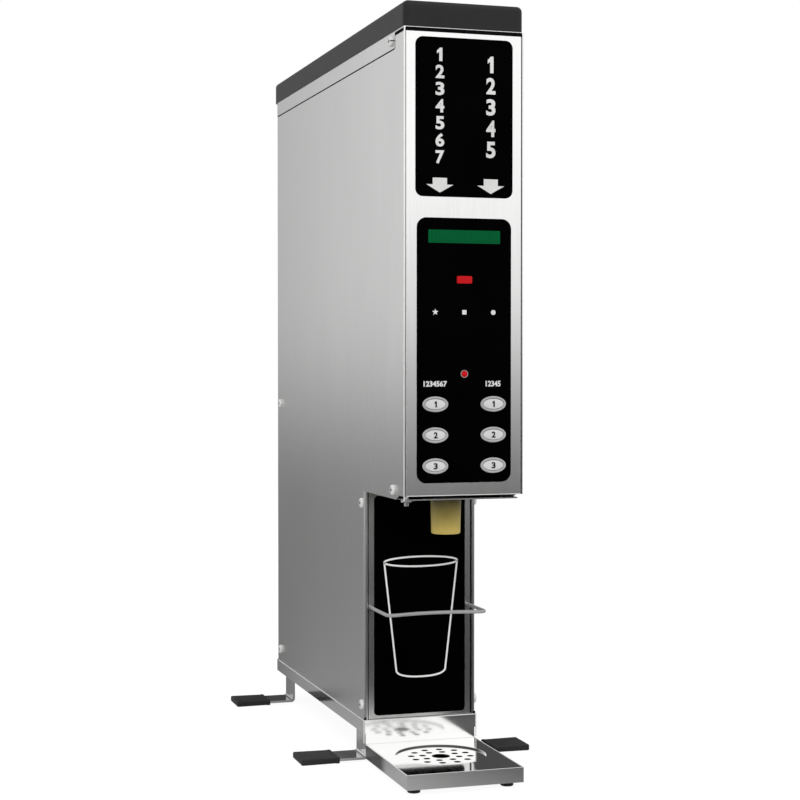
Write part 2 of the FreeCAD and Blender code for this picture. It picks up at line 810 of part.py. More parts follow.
def make_key(label, place, opening):
    """Make one key: a cap in front, a flange that keeps it in, and a stem to its switch."""
    body = new_body(label)
    x, z = place
    flange_front = s.sheet + s.key_gap
    flange_rear = flange_front + s.sheet
    front = -s.film - s.key_stand
    pad(body, "XZ_Plane", front, flange_front, opening(place, -s.key_gap))
    pad(body, "XZ_Plane", flange_front, flange_rear, opening(place, s.key_flange))
    pad(body, "XZ_Plane", flange_rear, switch_front - s.key_travel - s.running,
        disc(x, z, s.key_stem_radius))
    soften(body, s.key_stand / 2, lies_in("y", front))


def make_key_rims():
    """Make the raised rims that stand round the dose keys and the light."""
    body = new_body("key_rims")
    front = -s.film - s.key_rim_depth
    for place in key_places():
        pad(body, "XZ_Plane", front, -s.film, dose_outline(place, s.key_rim), dose_outline(place))
    pad(body, "XZ_Plane", front, -s.film, disc(0, light_z, s.light_radius + s.light_rim),
        disc(0, light_z, s.light_radius))


def make_films():
    """Make the two thin printed films of the head and the one behind the cup."""
    label = new_body("upper_label")
    half = s.label_width / 2
    top = plate_top - s.label_below_top
    pad(label, "XZ_Plane", -s.film, 0, rounded(-half, half, top - s.label_height, top, s.label_corner))

    film = new_body("key_film")
    half = s.film_width / 2
    pad(film, "XZ_Plane", -s.film, 0, rounded(-half, half, film_bottom, film_top, s.film_corner))
    pocket(film, "XZ_Plane", -s.film, 0, lcd_outline(), *key_openings())

    splash = new_body("splash_label")
    half = s.splash_label_width / 2
    pad(splash, "XZ_Plane", splash_face - s.film, splash_face, rounded(
        -half, half, rail_top + s.splash_label_low_gap, deck_bottom - s.splash_label_top_gap,
        s.splash_label_corner))


def lcd_outline():
    """Return the outline of the display window."""
    half, rise = s.lcd_width / 2, s.lcd_height / 2
    return rounded(-half, half, lcd_z - rise, lcd_z + rise, s.lcd_corner)


def make_display():
    """Make the display window, the display behind it and the status light."""
    window = new_body("lcd_window")
    pad(window, "XZ_Plane", -s.film, 0, lcd_outline())

    module = new_body("lcd_module")
    half, rise = s.lcd_width / 2 + s.lcd_module_margin, s.lcd_module_height / 2
    pad(module, "XZ_Plane", s.sheet + s.seat, board_front,
        rectangle(-half, half, lcd_z - rise, lcd_z + rise))
    soften(module, s.seat, lies_in("y", s.sheet + s.seat), "Chamfer")

    light = new_body("status_light")
    front = -s.film - s.key_stand
    pad(light, "XZ_Plane", front, board_front, disc(0, light_z, s.light_radius))
    soften(light, s.light_radius / 3, lies_in("y", front))


def make_key_board():
    """Make the circuit board behind the keys, with one switch for each key."""
    body = new_body("key_board")
    half = frame_half - s.sheet - s.board_margin
    pad(body, "XZ_Plane", board_front, board_front + s.board,
        rectangle(-half, half, film_bottom + s.board_low_gap, film_top))
    rise = s.switch_size / 2
    for x, z in key_places() + [cancel_place]:
        pad(body, "XZ_Plane", switch_front, board_front, rectangle(x - rise, x + rise, z - rise, z + rise))


# ---------------------------------------------------------------- cup guide
def make_cup_guide():
    """Make the cup guide: wire from the splash panel forwards, and across in a hollow curve."""
    body = new_body("cup_guide")
    path = new_sketch(body, "XY_Plane", s.wire_height)
    span_x, hollow, bend = s.wire_half_span, s.wire_hollow, s.wire_bend
    tail_y = splash_face + s.wire_tail
    middle_y = s.splash_setback - s.wire_reach + hollow
    big = (span_x * span_x + hollow * hollow) / (hollow * 2)
    centre_y = middle_y - big
    reach = math.sqrt((big.value + bend.value) ** 2 - (span_x.value - bend.value) ** 2)
    corner_y = centre_y.value + reach
    lean = math.atan2(reach, span_x.value - bend.value)
    up = FreeCAD.Vector(0, 0, 1)
    left, right = -span_x.value, span_x.value
    corner_left = Part.Circle(FreeCAD.Vector(left + bend.value, corner_y, 0), up, bend.value)
    corner_right = Part.Circle(FreeCAD.Vector(right - bend.value, corner_y, 0), up, bend.value)
    hollow_circle = Part.Circle(FreeCAD.Vector(0, centre_y.value, 0), up, big.value)
    path.addGeometry([
        Part.LineSegment(FreeCAD.Vector(left, tail_y.value, 0), FreeCAD.Vector(left, corner_y, 0)),
        Part.ArcOfCircle(corner_left, math.pi, 2 * math.pi - lean),
        Part.ArcOfCircle(hollow_circle, lean, math.pi - lean),
        Part.ArcOfCircle(corner_right, math.pi + lean, 2 * math.pi),
        Part.LineSegment(FreeCAD.Vector(right, corner_y, 0), FreeCAD.Vector(right, tail_y.value, 0)),
    ], False)
    joints = ((0, 2, 1, 1), (1, 2, 2, 2), (2, 1, 3, 1), (3, 2, 4, 1))
    path.addConstraint([Sketcher.Constraint("Tangent", *joint) for joint in joints])
    path.addConstraint([Sketcher.Constraint("Vertical", 0), Sketcher.Constraint("Vertical", 4)])
    path.addConstraint(Sketcher.Constraint("Equal", 1, 3))
    dimension(path, "DistanceX", (0, 1), -span_x, "left")
    dimension(path, "DistanceY", (0, 1), tail_y, "tail_left")
    dimension(path, "DistanceX", (4, 2), span_x, "right")
    dimension(path, "DistanceY", (4, 2), tail_y, "tail_right")
    dimension(path, "Radius", (1,), bend, "bend")
    dimension(path, "Radius", (2,), big, "hollow")
    dimension(path, "DistanceY", (2, 3), centre_y, "centre")
    section = draw_all(body, "XZ_Plane", tail_y, [disc(-span_x, s.wire_height, s.wire_radius)])
    sweep = body.newObject("PartDesign::AdditivePipe", "cup_guide_sweep")
    sweep.Profile = section
    sweep.Spine = (path, [f"Edge{number}" for number in range(1, 6)])


# ---------------------------------------------------------------- tray, legs and boots
def make_tray():
    """Make the drip pan, its two feet, and the drained cover that lifts off it."""
    tray_half = s.tray_width / 2
    pan = new_body("tray_pan")
    pan_half = tray_half - s.sheet - s.tray_clearance
    pan_front = tray_front + s.sheet + s.tray_clearance
    pan_top = tray_top - s.sheet - s.seat
    pad(pan, "XY_Plane", tray_bottom, pan_top, rectangle(-pan_half, pan_half, pan_front, apron_front))
    soften(pan, s.fold, edge_at("z", x=[-pan_half, pan_half], y=[pan_front]))
    pocket(pan, "XY_Plane", tray_bottom + s.sheet, pan_top, rectangle(
        s.sheet - pan_half, pan_half - s.sheet, pan_front + s.sheet, apron_front - s.sheet))

    feet = new_body("tray_feet")
    pad(feet, "XY_Plane", 0, tray_bottom, *[
        disc(sign * (tray_half - s.foot_inset), s.foot_setback, s.foot_radius)
        for sign in SIDES.values()])
    soften(feet, s.sheet / 2, lies_in("z", 0))

    cover = new_body("tray_cover")
    rear = apron_front - s.seat
    low = tray_bottom + s.seat
    inner = tray_half - s.sheet
    pad(cover, "XY_Plane", low, tray_top, rectangle(-tray_half, tray_half, tray_front, rear))
    soften(cover, s.seat, edge_at("z", x=[-tray_half, tray_half], y=[tray_front]))
    pocket(cover, "XY_Plane", low, tray_top - s.sheet,
           rectangle(-inner, inner, tray_front + s.sheet, apron_front))
    dish_floor = tray_top - s.recess_depth
    pad(cover, "XY_Plane", dish_floor - s.sheet, tray_top - s.sheet / 2,
        disc(0, s.drain_setback, s.recess_radius + s.sheet))
    pocket(cover, "XY_Plane", dish_floor, tray_top, disc(0, s.drain_setback, s.recess_radius))
    pocket(cover, "XY_Plane", dish_floor - s.sheet, dish_floor,
           disc(0, s.drain_setback, s.finger_hole_radius))
    for ring, count in ((s.inner_ring_radius, 8), (s.outer_ring_radius, 12)):
        drill_ring(cover, dish_floor, ring, count)


def drill_ring(body, level, ring, count):
    """Drill one ring of drain holes by repeating a hole about the middle of the recess."""
    drawing = new_sketch(body, "XY_Plane", level, up=s.drain_setback)
    half_step = math.pi / count
    disc(ring * math.cos(half_step), ring * math.sin(half_step), s.drain_hole_radius)(drawing)
    hole = body.newObject("PartDesign::Pocket", body.Name + "_hole")
    hole.Profile = drawing
    bind(hole, "Length", s.sheet)
    pattern = body.newObject("PartDesign::PolarPattern", body.Name + "_ring")
    pattern.Originals = [hole]
    pattern.Axis = (drawing, ["N_Axis"])
    pattern.Angle = 360
    pattern.Occurrences = count
    body.Tip = pattern


def leg_screw_rows(leg_y):
    """Give the two places along the machine where screws hold a leg."""
    return (leg_y - s.strap_width / 4, leg_y + s.strap_width / 4)


def make_leg(label, sign, leg_y):
    """Make one leg: a strap bent into a Z, screwed under the base and reaching outwards."""
    body = new_body(label)
    inner, outer = s.strap_half_gap, s.strap_half_gap + s.strap
    root = outer - s.strap_flange
    low = (s.boot_height - s.strap) / 2
    high = low + s.strap
    top = floor_bottom
    points = [(root, top), (outer, top), (outer, high), (s.strap_reach, high),
              (s.strap_reach, low), (inner, low), (inner, top - s.strap), (root, top - s.strap)]
    front, rear = leg_y - s.strap_width / 2, leg_y + s.strap_width / 2
    pad(body, "XZ_Plane", front, rear, outline(*[(sign * x, z) for x, z in points]))
    soften(body, s.strap_bend, edge_at("y", x=[sign * outer], z=[high]))
    soften(body, s.strap_bend, edge_at("y", x=[sign * inner], z=[top - s.strap]))
    soften(body, s.strap_bend + s.strap / 2, edge_at("y", x=[sign * inner], z=[low]))
    soften(body, s.strap_bend + s.strap / 2, edge_at("y", x=[sign * outer], z=[top]))
    for y in leg_screw_rows(leg_y):
        pocket(body, "XY_Plane", top - s.strap, top, disc(sign * leg_screw_x, y, screw_hole))


def make_boots():
    """Make the four rubber boots that are pushed over the ends of the legs."""
    body = new_body("boots")
    near, far = s.strap_reach + s.boot_wall - s.boot_length, s.strap_reach + s.boot_wall
    half = s.strap_width / 2
    feet = [(sign, leg_y) for sign in SIDES.values() for leg_y in leg_places.values()]
    pad(body, "XY_Plane", 0, s.boot_height, *[
        rounded(*span(sign, near, far), leg_y - half - s.boot_wall, leg_y + half + s.boot_wall,
                s.boot_wall) for sign, leg_y in feet])
    soften(body, s.boot_radius, lambda edge: lies_in("z", 0)(edge) or lies_in("z", s.boot_height)(edge))
    strap_low = (s.boot_height - s.strap) / 2
    for sign, leg_y in feet:
        cut_low, cut_high = span(sign, near, s.strap_reach)
        pocket(body, "YZ_Plane", cut_low, cut_high,
               rectangle(leg_y - half, leg_y + half, strap_low, strap_low + s.strap))


# ---------------------------------------------------------------- hoppers, chute and nozzle
def make_hopper(side, sign):
    """Make one product hopper: a narrow bin that ends in a round trough for the auger."""
    body = new_body(f"hopper_{side}")
    x = sign * channel_x
    front, rear = s.hopper_front, hopper_rear
    top = plate_top + s.hopper_lip_thickness
    shoulder = auger_z + s.shoulder_rise
    wall = s.hopper_wall

    def bin_outline(shrink, brim):
        half, neck = s.hopper_width / 2 - shrink, s.trough_radius + wall - shrink
        return outline((x - half, brim), (x - half, shoulder), (x - neck, auger_z),
                       (x + neck, auger_z), (x + half, shoulder), (x + half, brim))

    half = s.hopper_width / 2
    pad(body, "XZ_Plane", front, rear, bin_outline(as_size(0), top))
    pad(body, "XZ_Plane", front, rear, disc(x, auger_z, s.trough_radius + wall))
    pad(body, "XY_Plane", plate_top, top,
        rectangle(x - half, x + half, front - s.hopper_lip, rear + s.hopper_lip))
    out_low, out_high = outlet_front, outlet_front + s.outlet_length
    mouth = s.outlet_width / 2
    pad(body, "XY_Plane", spout_bottom, auger_z,
        rectangle(x - mouth - wall, x + mouth + wall, out_low - wall, out_high + wall))
    for z in (auger_z, agitator_z):
        pad(body, "XZ_Plane", front - s.boss_length, front, disc(x, z, s.boss_radius))
    pocket(body, "XZ_Plane", front + wall, rear - wall, bin_outline(wall, top))
    pocket(body, "XZ_Plane", front + wall, rear - wall, disc(x, auger_z, s.trough_radius))
    pocket(body, "XY_Plane", spout_bottom, auger_z,
           rectangle(x - mouth, x + mouth, out_low, out_high))
    for z in (auger_z, agitator_z):
        pocket(body, "XZ_Plane", front - s.boss_length / 2, front + wall,
               disc(x, z, s.spigot_radius + s.running))
    pocket(body, "XZ_Plane", rear - wall, rear, disc(x, auger_z, s.auger_shaft + s.running),
           disc(x, agitator_z, s.agitator_shaft + s.running))


def make_chute():
    """Make the chute that leads both spouts down into the nozzle."""
    body = new_body("chute")
    wall = s.chute_wall
    mouth_top = spout_bottom + s.chute_mouth_gap
    mouth_low = mouth_top - s.spout_length - s.chute_mouth_gap
    throat = deck_top + s.nozzle_collar_height + s.chute_neck_drop
    half = channel_x + s.outlet_width / 2 + s.hopper_wall + s.chute_mouth_gap
    front = outlet_front - s.hopper_wall - s.chute_mouth_gap
    rear = outlet_front + s.outlet_length + s.hopper_wall + s.chute_mouth_gap
    centre, neck = s.nozzle_setback, s.chute_neck_radius

    def section(grow, level):
        return [rounded(-half - grow, half + grow, front - grow, rear + grow, 3 + grow)], level

    def loft(kind, grow, low_radius):
        high = draw_all(body, "XY_Plane", mouth_low, section(grow, mouth_low)[0])
        low = draw_all(body, "XY_Plane", throat, [rounded(
            -low_radius, low_radius, centre - low_radius, centre + low_radius, low_radius * 0.97)])
        feature = body.newObject(f"PartDesign::{kind}Loft", f"chute_{kind.lower()}")
        feature.Profile = high
        feature.Sections = [low]
        feature.Ruled = True

    loft("Additive", wall, neck)
    pad(body, "XY_Plane", mouth_low, mouth_top, section(wall, mouth_low)[0][0])
    neck_bottom = deck_top + s.nozzle_collar_height - s.chute_neck_drop
    pad(body, "XY_Plane", neck_bottom, throat, disc(0, centre, neck))
    seat = deck_top + s.nozzle_collar_height
    pad(body, "XY_Plane", seat, seat + wall, disc(0, centre, neck + s.nozzle_collar))
    loft("Subtractive", as_size(0), neck - wall)
    pocket(body, "XY_Plane", mouth_low, mouth_top, section(as_size(0), mouth_low)[0][0])
    pocket(body, "XY_Plane", neck_bottom, throat, disc(0, centre, neck - wall))


def make_nozzle():
    """Make the tapered nozzle that hangs by its collar in the floor of the head."""
    body = new_body("nozzle")
    top, tip, wall = s.nozzle_top_radius, s.nozzle_tip_radius, s.nozzle_wall
    collar_top = deck_top + s.nozzle_collar_height
    lathe(body, "Z", 0, s.nozzle_setback,
          (tip - wall, nozzle_tip), (tip, nozzle_tip), (top, deck_bottom), (top, deck_top),
          (top + s.nozzle_collar, deck_top), (top + s.nozzle_collar, collar_top),
          (top - wall, collar_top), (top - wall, deck_bottom))


# ---------------------------------------------------------------- augers, agitators and drives
def make_auger(side, sign):
    """Make the screw that carries the product forwards along the trough to the spout."""
    body = new_body(f"auger_{side}")
    x = sign * channel_x
    wall = s.hopper_wall
    start = s.hopper_front + wall + s.running
    pad(body, "XZ_Plane", start, gear_plate_rear - s.seat, disc(x, auger_z, s.auger_shaft))
    pad(body, "XZ_Plane", s.hopper_front - s.boss_length / 2 + s.seat, start,
        disc(x, auger_z, s.spigot_radius))
    blade_front = start + s.auger_blade
    blade_rear = hopper_rear - wall - s.auger_blade
    drawing = new_sketch(body, "YZ_Plane", x, up=auger_z)
    rectangle(blade_front, blade_front + s.auger_blade, s.auger_shaft - s.auger_blade / 2,
              s.auger_radius)(drawing)
    flight = body.newObject("PartDesign::AdditiveHelix", f"auger_{side}_flight")
    flight.Profile = drawing
    flight.ReferenceAxis = (drawing, ["H_Axis"])
    flight.Mode = 0
    bind(flight, "Pitch", s.auger_pitch)
    bind(flight, "Height", blade_rear - blade_front - s.auger_blade)
    flight.LeftHanded = sign < 0


def make_agitator(side, sign):
    """Make the shaft with paddles that keeps the product moving above the auger."""
    body = new_body(f"agitator_{side}")
    x = sign * channel_x
    front = s.hopper_front - s.boss_length / 2 + s.seat
    pad(body, "XZ_Plane", front, gear_plate_rear - s.seat, disc(x, agitator_z, s.agitator_shaft))
    reach, half = s.paddle_reach, s.paddle_thickness / 2
    first = s.hopper_front + s.hopper_wall + 2 * s.paddle_width
    free = s.hopper_length - 2 * s.hopper_wall - 4 * s.paddle_width
    for step in range(6):
        y = first + free * step / 6
        wide, tall = (half, reach) if step % 2 else (reach, half)
        pad(body, "XZ_Plane", y, y + s.paddle_width,
            rectangle(x - wide, x + wide, agitator_z - tall, agitator_z + tall))


def gear_blank(teeth, x, z, bore, phase):
    """Work out a spur gear on the Y axis: involute flanks between the root and tip circles.

    phase is the angle, in degrees from the X axis, of the middle of one tooth.
    """
    module, width = s.gear_module.value, s.gear_width.value
    pitch_radius = module * teeth / 2
    base_radius = pitch_radius * math.cos(math.radians(20))
    root_radius = pitch_radius - 1.25 * module
    tip_radius = pitch_radius + module
    half_tooth = math.pi / (2 * teeth) - s.gear_backlash.value / (4 * pitch_radius)

    def involute(radius):
        if radius <= base_radius:
            return 0.0
        pressure = math.acos(base_radius / radius)
        return math.tan(pressure) - pressure

    radii = [root_radius, max(base_radius, root_radius), pitch_radius, tip_radius]
    flank = [(radius, half_tooth + involute(pitch_radius) - involute(radius)) for radius in radii]
    points = []
    for tooth in range(teeth):
        middle = math.radians(phase) + 2 * math.pi * tooth / teeth
        for radius, angle in [(r, -a) for r, a in flank] + flank[::-1]:
            around = middle + angle
            points.append(FreeCAD.Vector(x + radius * math.cos(around), gear_front.value,
                                         z + radius * math.sin(around)))
    face = Part.Face(Part.makePolygon(points + points[:1]))
    along = FreeCAD.Vector(0, width, 0)
    solid = face.extrude(along)
    if bore:
        centre = FreeCAD.Vector(x, gear_front.value, z)
        solid = solid.cut(Part.makeCylinder(bore, width, centre, FreeCAD.Vector(0, 1, 0)))
    return solid


def meshing_phase(teeth, driver_teeth, driver_phase, toward):
    """Give the phase that puts a gap of this gear over the driver's tooth nearest to it.

    toward is the direction in degrees from the driver to this gear.
    """
    step = 360 / driver_teeth
    lead = (driver_phase - toward + step / 2) % step - step / 2
    return toward + 180 - lead * driver_teeth / teeth + 180 / teeth


def make_drive(side, sign):
    """Make the three gears of one channel and the motor that turns them."""
    x = (sign * channel_x).value
    auger_teeth, agitator_teeth, pinion_teeth = (
        int(count.value) for count in (s.auger_teeth, s.agitator_teeth, s.pinion_teeth))
    up, down = 90, -90
    shaped(f"auger_gear_{side}", gear_blank(auger_teeth, x, auger_z.value, s.auger_shaft.value, up))
    shaped(f"agitator_gear_{side}", gear_blank(
        agitator_teeth, x, agitator_z.value, s.agitator_shaft.value,
        meshing_phase(agitator_teeth, auger_teeth, up, up)))
    pinion = gear_blank(pinion_teeth, x, pinion_z.value, 0,
                        meshing_phase(pinion_teeth, auger_teeth, up, down))
    shaft_end = gear_plate_rear + s.motor_bore_depth - s.seat
    shaft = Part.makeCylinder(s.spigot_radius.value, (shaft_end - gear_front).value,
                              FreeCAD.Vector(x, gear_front.value, pinion_z.value),
                              FreeCAD.Vector(0, 1, 0))
    shaped(f"pinion_{side}", pinion.fuse(shaft).removeSplitter())

    motor = new_body(f"gear_motor_{side}")
    radius, face = s.motor_radius, gear_plate_rear
    bore, middle, rear = s.spigot_radius + s.running, face + s.motor_length * 0.4, face + s.motor_length
    can = radius * 0.9
    lathe(motor, "Y", sign * channel_x, pinion_z,
          (face, bore), (face, radius), (middle, radius), (middle, can), (rear, can), (rear, 0),
          (face + s.motor_bore_depth, 0), (face + s.motor_bore_depth, bore))


def make_gear_plate():
    """Make the upright plate that carries the motors and the rear ends of the shafts."""
    body = new_body("gear_plate")
    pad(body, "XZ_Plane", gear_plate_front, gear_plate_rear,
        rectangle(-deck_half + s.sheet, deck_half - s.sheet, deck_top, deck_top + s.gear_plate_height))
    pad(body, "XY_Plane", deck_top, deck_top + s.gear_plate, rectangle(
        -deck_half + s.sheet, deck_half - s.sheet, gear_plate_front, gear_plate_rear + s.gear_plate_foot))
    for sign in SIDES.values():
        x = sign * channel_x
        pocket(body, "XZ_Plane", gear_plate_front, gear_plate_rear,
               disc(x, auger_z, s.auger_shaft + s.running),
               disc(x, agitator_z, s.agitator_shaft + s.running),
               disc(x, pinion_z, s.spigot_radius + s.running))


# ---------------------------------------------------------------- electrics
def make_power_supply():
    """Make the boxed power supply that stands on the floor of the base."""
    body = new_body("power_supply")
    half, rear = s.supply_width / 2, s.supply_setback + s.supply_length
    top = floor_top + s.supply_height
    pad(body, "XY_Plane", floor_top, top, rectangle(-half, half, s.supply_setback, rear))
    soften(body, s.fold, edge_at("z", x=[-half, half], y=[s.supply_setback, rear]))
    for step in range(8):
        y = s.supply_setback + s.supply_length * (step + 1) / 10
        pocket(body, "XY_Plane", top - s.sheet, top, rectangle(-half / 2, half / 2, y, y + s.vent_height))


def make_controller():
    """Make the control board on its four spacers above the deck."""
    body = new_body("controller")
    half, front = s.controller_width / 2, s.controller_setback
    rear = front + s.controller_length
    low = deck_top + s.controller_spacer
    top = low + s.board
    pad(body, "XY_Plane", low, top, rectangle(-half, half, front, rear))
    inset = s.screw_head_radius
    for x in (inset - half, half - inset):
        for y in (front + inset, rear - inset):
            pad(body, "XY_Plane", deck_top, low, disc(x, y, s.screw_head_radius))
    for step, tall in enumerate((16, 24, 12, 20)):
        y = front + s.controller_length * (step + 1) / 6
        pad(body, "XY_Plane", top, top + tall, rectangle(
            half * -0.6, half * 0.6, y, y + s.controller_length / 9))


def make_power_inlet():
    """Make the power inlet, with the well of its switch above and the socket below."""
    body = new_body("power_inlet")
    half, border = s.inlet_width / 2, s.inlet_border
    outer = rear_face + s.inlet_flange
    pad(body, "XZ_Plane", rear_face, outer, rounded(-half, half, inlet_low, inlet_high, border / 2))
    back = rear_face - s.inlet_depth
    pad(body, "XZ_Plane", back, rear_face,
        rectangle(border - half, half - border, inlet_low + border, inlet_high - border))
    well = s.rocker_width / 2 + s.rocker_play
    rise = s.rocker_radius + s.rocker_play
    pocket(body, "XZ_Plane", back + border, outer,
           rectangle(-well, well, rocker_z - rise, rocker_z + rise))
    pocket(body, "XZ_Plane", socket_floor, outer, rounded(
        -socket_half, socket_half, socket_z - socket_rise, socket_z + socket_rise, s.fold))
    for x, z in ((-7, -2), (7, -2), (0, 3)):
        pad(body, "XZ_Plane", socket_floor, outer - 2 * border,
            rectangle(x - 1, x + 1, socket_z + z - 2, socket_z + z + 2))


def make_rocker():
    """Make the rocker of the power switch, tilted to its off position."""
    width, radius = s.rocker_width.value, s.rocker_radius.value
    rise, proud, hollow = radius * 0.88, radius * 0.42, radius * 0.3
    corners = [(proud, rise), (hollow, 0), (proud, -rise), (-proud, -rise), (-proud, rise)]
    tilt = math.radians(s.rocker_tilt.value)
    points = [FreeCAD.Vector(
        -width / 2,
        rear_face.value + y * math.cos(tilt) + z * math.sin(tilt),
        rocker_z.value - y * math.sin(tilt) + z * math.cos(tilt)) for y, z in corners]
    face = Part.Face(Part.makePolygon(points + points[:1]))
    shaped("power_rocker", face.extrude(FreeCAD.Vector(width, 0, 0)))


# ---------------------------------------------------------------- fasteners
def screw_solid(place, way):
    """Work out one pan head screw whose head lies on a face, with a cross recess."""
    shank, head = s.screw_radius.value, s.screw_head_radius.value
    tall, length, recess = s.screw_head_height.value, s.screw_length.value, s.screw_recess.value
    pan = Part.makeCylinder(head, tall)
    pan = pan.makeFillet(tall * 0.6, [edge for edge in pan.Edges if lies_in("z", tall)(edge)])
    solid = pan.fuse(Part.makeCylinder(shank, length, FreeCAD.Vector(0, 0, -length)))
    arm, slot = head * 0.52, head * 0.11
    for x, y in ((arm, slot), (slot, arm)):
        solid = solid.cut(block((-x, x), (-y, y), (tall - recess, tall)))
    turn = FreeCAD.Rotation(FreeCAD.Vector(0, 0, 1), FreeCAD.Vector(*way))
    solid.Placement = FreeCAD.Placement(FreeCAD.Vector(*place), turn)
    return solid


def make_screws():
    """Make the screws of the side panels as one group, and those of the legs as another."""
    side_places = [place for places in panel_screws().values() for place in places] + [strip_screw]
    shaped("case_screws", Part.makeCompound([
        screw_solid((sign * half_width.value, y.value, z.value), (sign, 0, 0))
        for sign in SIDES.values() for y, z in side_places]))
    under = (floor_bottom - s.strap).value
    shaped("leg_screws", Part.makeCompound([
        screw_solid((sign * leg_screw_x.value, y.value, under), (0, 0, -1))
        for leg_y in leg_places.values() for sign in SIDES.values() for y in leg_screw_rows(leg_y)]))


def make_thumbscrew():
    """Make the captive thumbscrew that draws the lip of the front cover to the deck."""
    body = new_body("thumbscrew")
    head_top = deck_bottom - s.seat
    head_low = head_top - s.thumb_height
    stub_low = head_low - s.thumb_stub_length
    lathe(body, "Z", thumb_x, s.thumb_setback,
          (0, stub_low), (s.thumb_stub_radius, stub_low), (s.thumb_stub_radius, head_low),
          (s.thumb_radius, head_low), (s.thumb_radius, head_top), (s.screw_radius, head_top),
          (s.screw_radius, cover_bottom + s.sheet * 2), (0, cover_bottom + s.sheet * 2))
    soften(body, s.seat, lies_in("z", stub_low))


# ---------------------------------------------------------------- places shared by pieces
rail_half = half_width + s.rail_proud
deck_half = frame_half - s.sheet - s.seat
thumb_x = s.thumb_inset - half_width
stud_x = frame_half - s.stud_inset
stud_heights = (film_bottom + s.stud_inset, film_top - s.lcd_below_film * 2)
lcd_z = film_top - s.lcd_below_film
light_z = film_bottom + s.light_above_film_edge
cancel_place = (as_size(0), film_top - s.cancel_below_film)
switch_front = board_front - s.switch_size * 2 / 3
outlet_front = s.hopper_front + s.outlet_setback
spout_bottom = auger_z - s.trough_radius - s.hopper_wall - s.spout_length
hinge_z = plate_top + s.hinge_rise
leg_places = {"front": s.front_leg_setback, "rear": s.rear_leg_setback}
leg_screw_x = s.strap_half_gap - s.strap_flange / 2
inlet_low = s.inlet_rise
inlet_high = inlet_low + s.inlet_height
rocker_z = inlet_high - s.inlet_border - s.rocker_radius - 2 * s.rocker_play
socket_half = s.inlet_width / 2 - 2 * s.inlet_border
socket_rise = s.inlet_height / 6
socket_z = inlet_low + s.inlet_border * 1.5 + socket_rise
socket_floor = rear_face - s.inlet_depth + s.inlet_border

make_base_frame()
make_splash_panel()
make_rear_panel()
make_deck()
make_front_cover()
make_top_frame()
make_lid()
make_hinge_pins()
make_films()
make_display()
make_key_rims()
make_key_board()
for number, place in enumerate(key_places(), start=1):
    make_key(f"dose_key_{number}", place, dose_outline)
make_key("cancel_key", cancel_place, cancel_outline)
make_cup_guide()
make_tray()
make_chute()
make_nozzle()
make_gear_plate()
make_power_supply()
make_controller()
make_power_inlet()
make_rocker()
make_boots()
make_screws()
make_thumbscrew()
for side, sign in SIDES.items():
    make_side_panel(side, sign)
    make_hopper(side, sign)
    make_auger(side, sign)
    make_agitator(side, sign)
    make_drive(side, sign)
    for end, leg_y in leg_places.items():
        make_leg(f"leg_{end}_{side}", sign, leg_y)

doc.recompute()

failed = [thing.Label for thing in doc.Objects if {"Invalid", "Error"} & set(thing.State)]
failed += [node.Label for node in nodes if node.Shape.isNull() or not node.Shape.isValid()]
if failed:
    raise RuntimeError("failed: " + ", ".join(failed))

os.makedirs("parts", exist_ok=True)
for node in nodes:
    node.Shape.exportStep(f"parts/{node.Label}.step")
    print(f"{node.Label:24s} {len(node.Shape.Solids):3d} solids {node.Shape.Volume:12.1f} mm3")
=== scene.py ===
"""Dry product dispenser: the finishes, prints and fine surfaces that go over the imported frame.

Everything is in metres. X runs across the cabinet, Y from the front to the rear and Z up, and the
middle of the machine stands on the origin.
"""
import json
import logging
import math
from dataclasses import dataclass, field
from enum import Enum
from typing import Sequence

import bmesh
import bpy
import numpy as np
from mathutils import Euler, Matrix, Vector


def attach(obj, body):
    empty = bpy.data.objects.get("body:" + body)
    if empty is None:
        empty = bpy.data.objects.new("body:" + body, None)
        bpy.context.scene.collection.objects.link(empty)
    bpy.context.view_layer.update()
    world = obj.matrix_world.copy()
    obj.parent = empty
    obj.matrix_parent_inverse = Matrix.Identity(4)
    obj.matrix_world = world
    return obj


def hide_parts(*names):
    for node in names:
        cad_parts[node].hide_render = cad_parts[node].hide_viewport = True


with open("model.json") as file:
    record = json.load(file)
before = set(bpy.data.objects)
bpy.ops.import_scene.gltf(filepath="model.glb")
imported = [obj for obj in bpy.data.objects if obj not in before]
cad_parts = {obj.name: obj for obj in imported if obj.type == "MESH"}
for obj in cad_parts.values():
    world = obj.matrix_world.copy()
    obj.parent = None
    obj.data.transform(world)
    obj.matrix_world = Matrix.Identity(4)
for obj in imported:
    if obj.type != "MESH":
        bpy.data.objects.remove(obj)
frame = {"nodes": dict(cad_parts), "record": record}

Array = np.ndarray
Pair = tuple[float, float]
Point = tuple[float, float, float]
Colour = tuple[float, float, float]
Mark = tuple[str, float, float, float, float]
Socket = bpy.types.NodeSocket
Object = bpy.types.Object

LOG = logging.getLogger("dispenser")
TURN = 2 * math.pi
FACE = -0.2512          # y of the steel face of the head
SPLASH = FACE + 0.131   # y of the steel face behind the cup
FLOOR = 0.2648          # z of the underside of the head
NOZZLE_TIP = 0.2298     # z of the tip of the nozzle
FILM = 0.0005           # thickness of the labels
MERGE = 1e-7            # points that are closer than this become one
CREASE = 38.0           # edges that turn by more degrees than this stay sharp
CURVE_STEPS = 6         # points on each curve of a numeral
# Outline of the numeral 1 in a unit square: a stem with a slanted flag at its upper left.
ONE = np.array([[0.42, 0.0], [0.78, 0.0], [0.78, 1.0], [0.5, 1.0], [0.16, 0.78], [0.16, 0.56], [0.42, 0.68]])


class End(Enum):
    """How the first or last ring of a skin is closed."""

    FAN = "fan"
    FLAT = "flat"


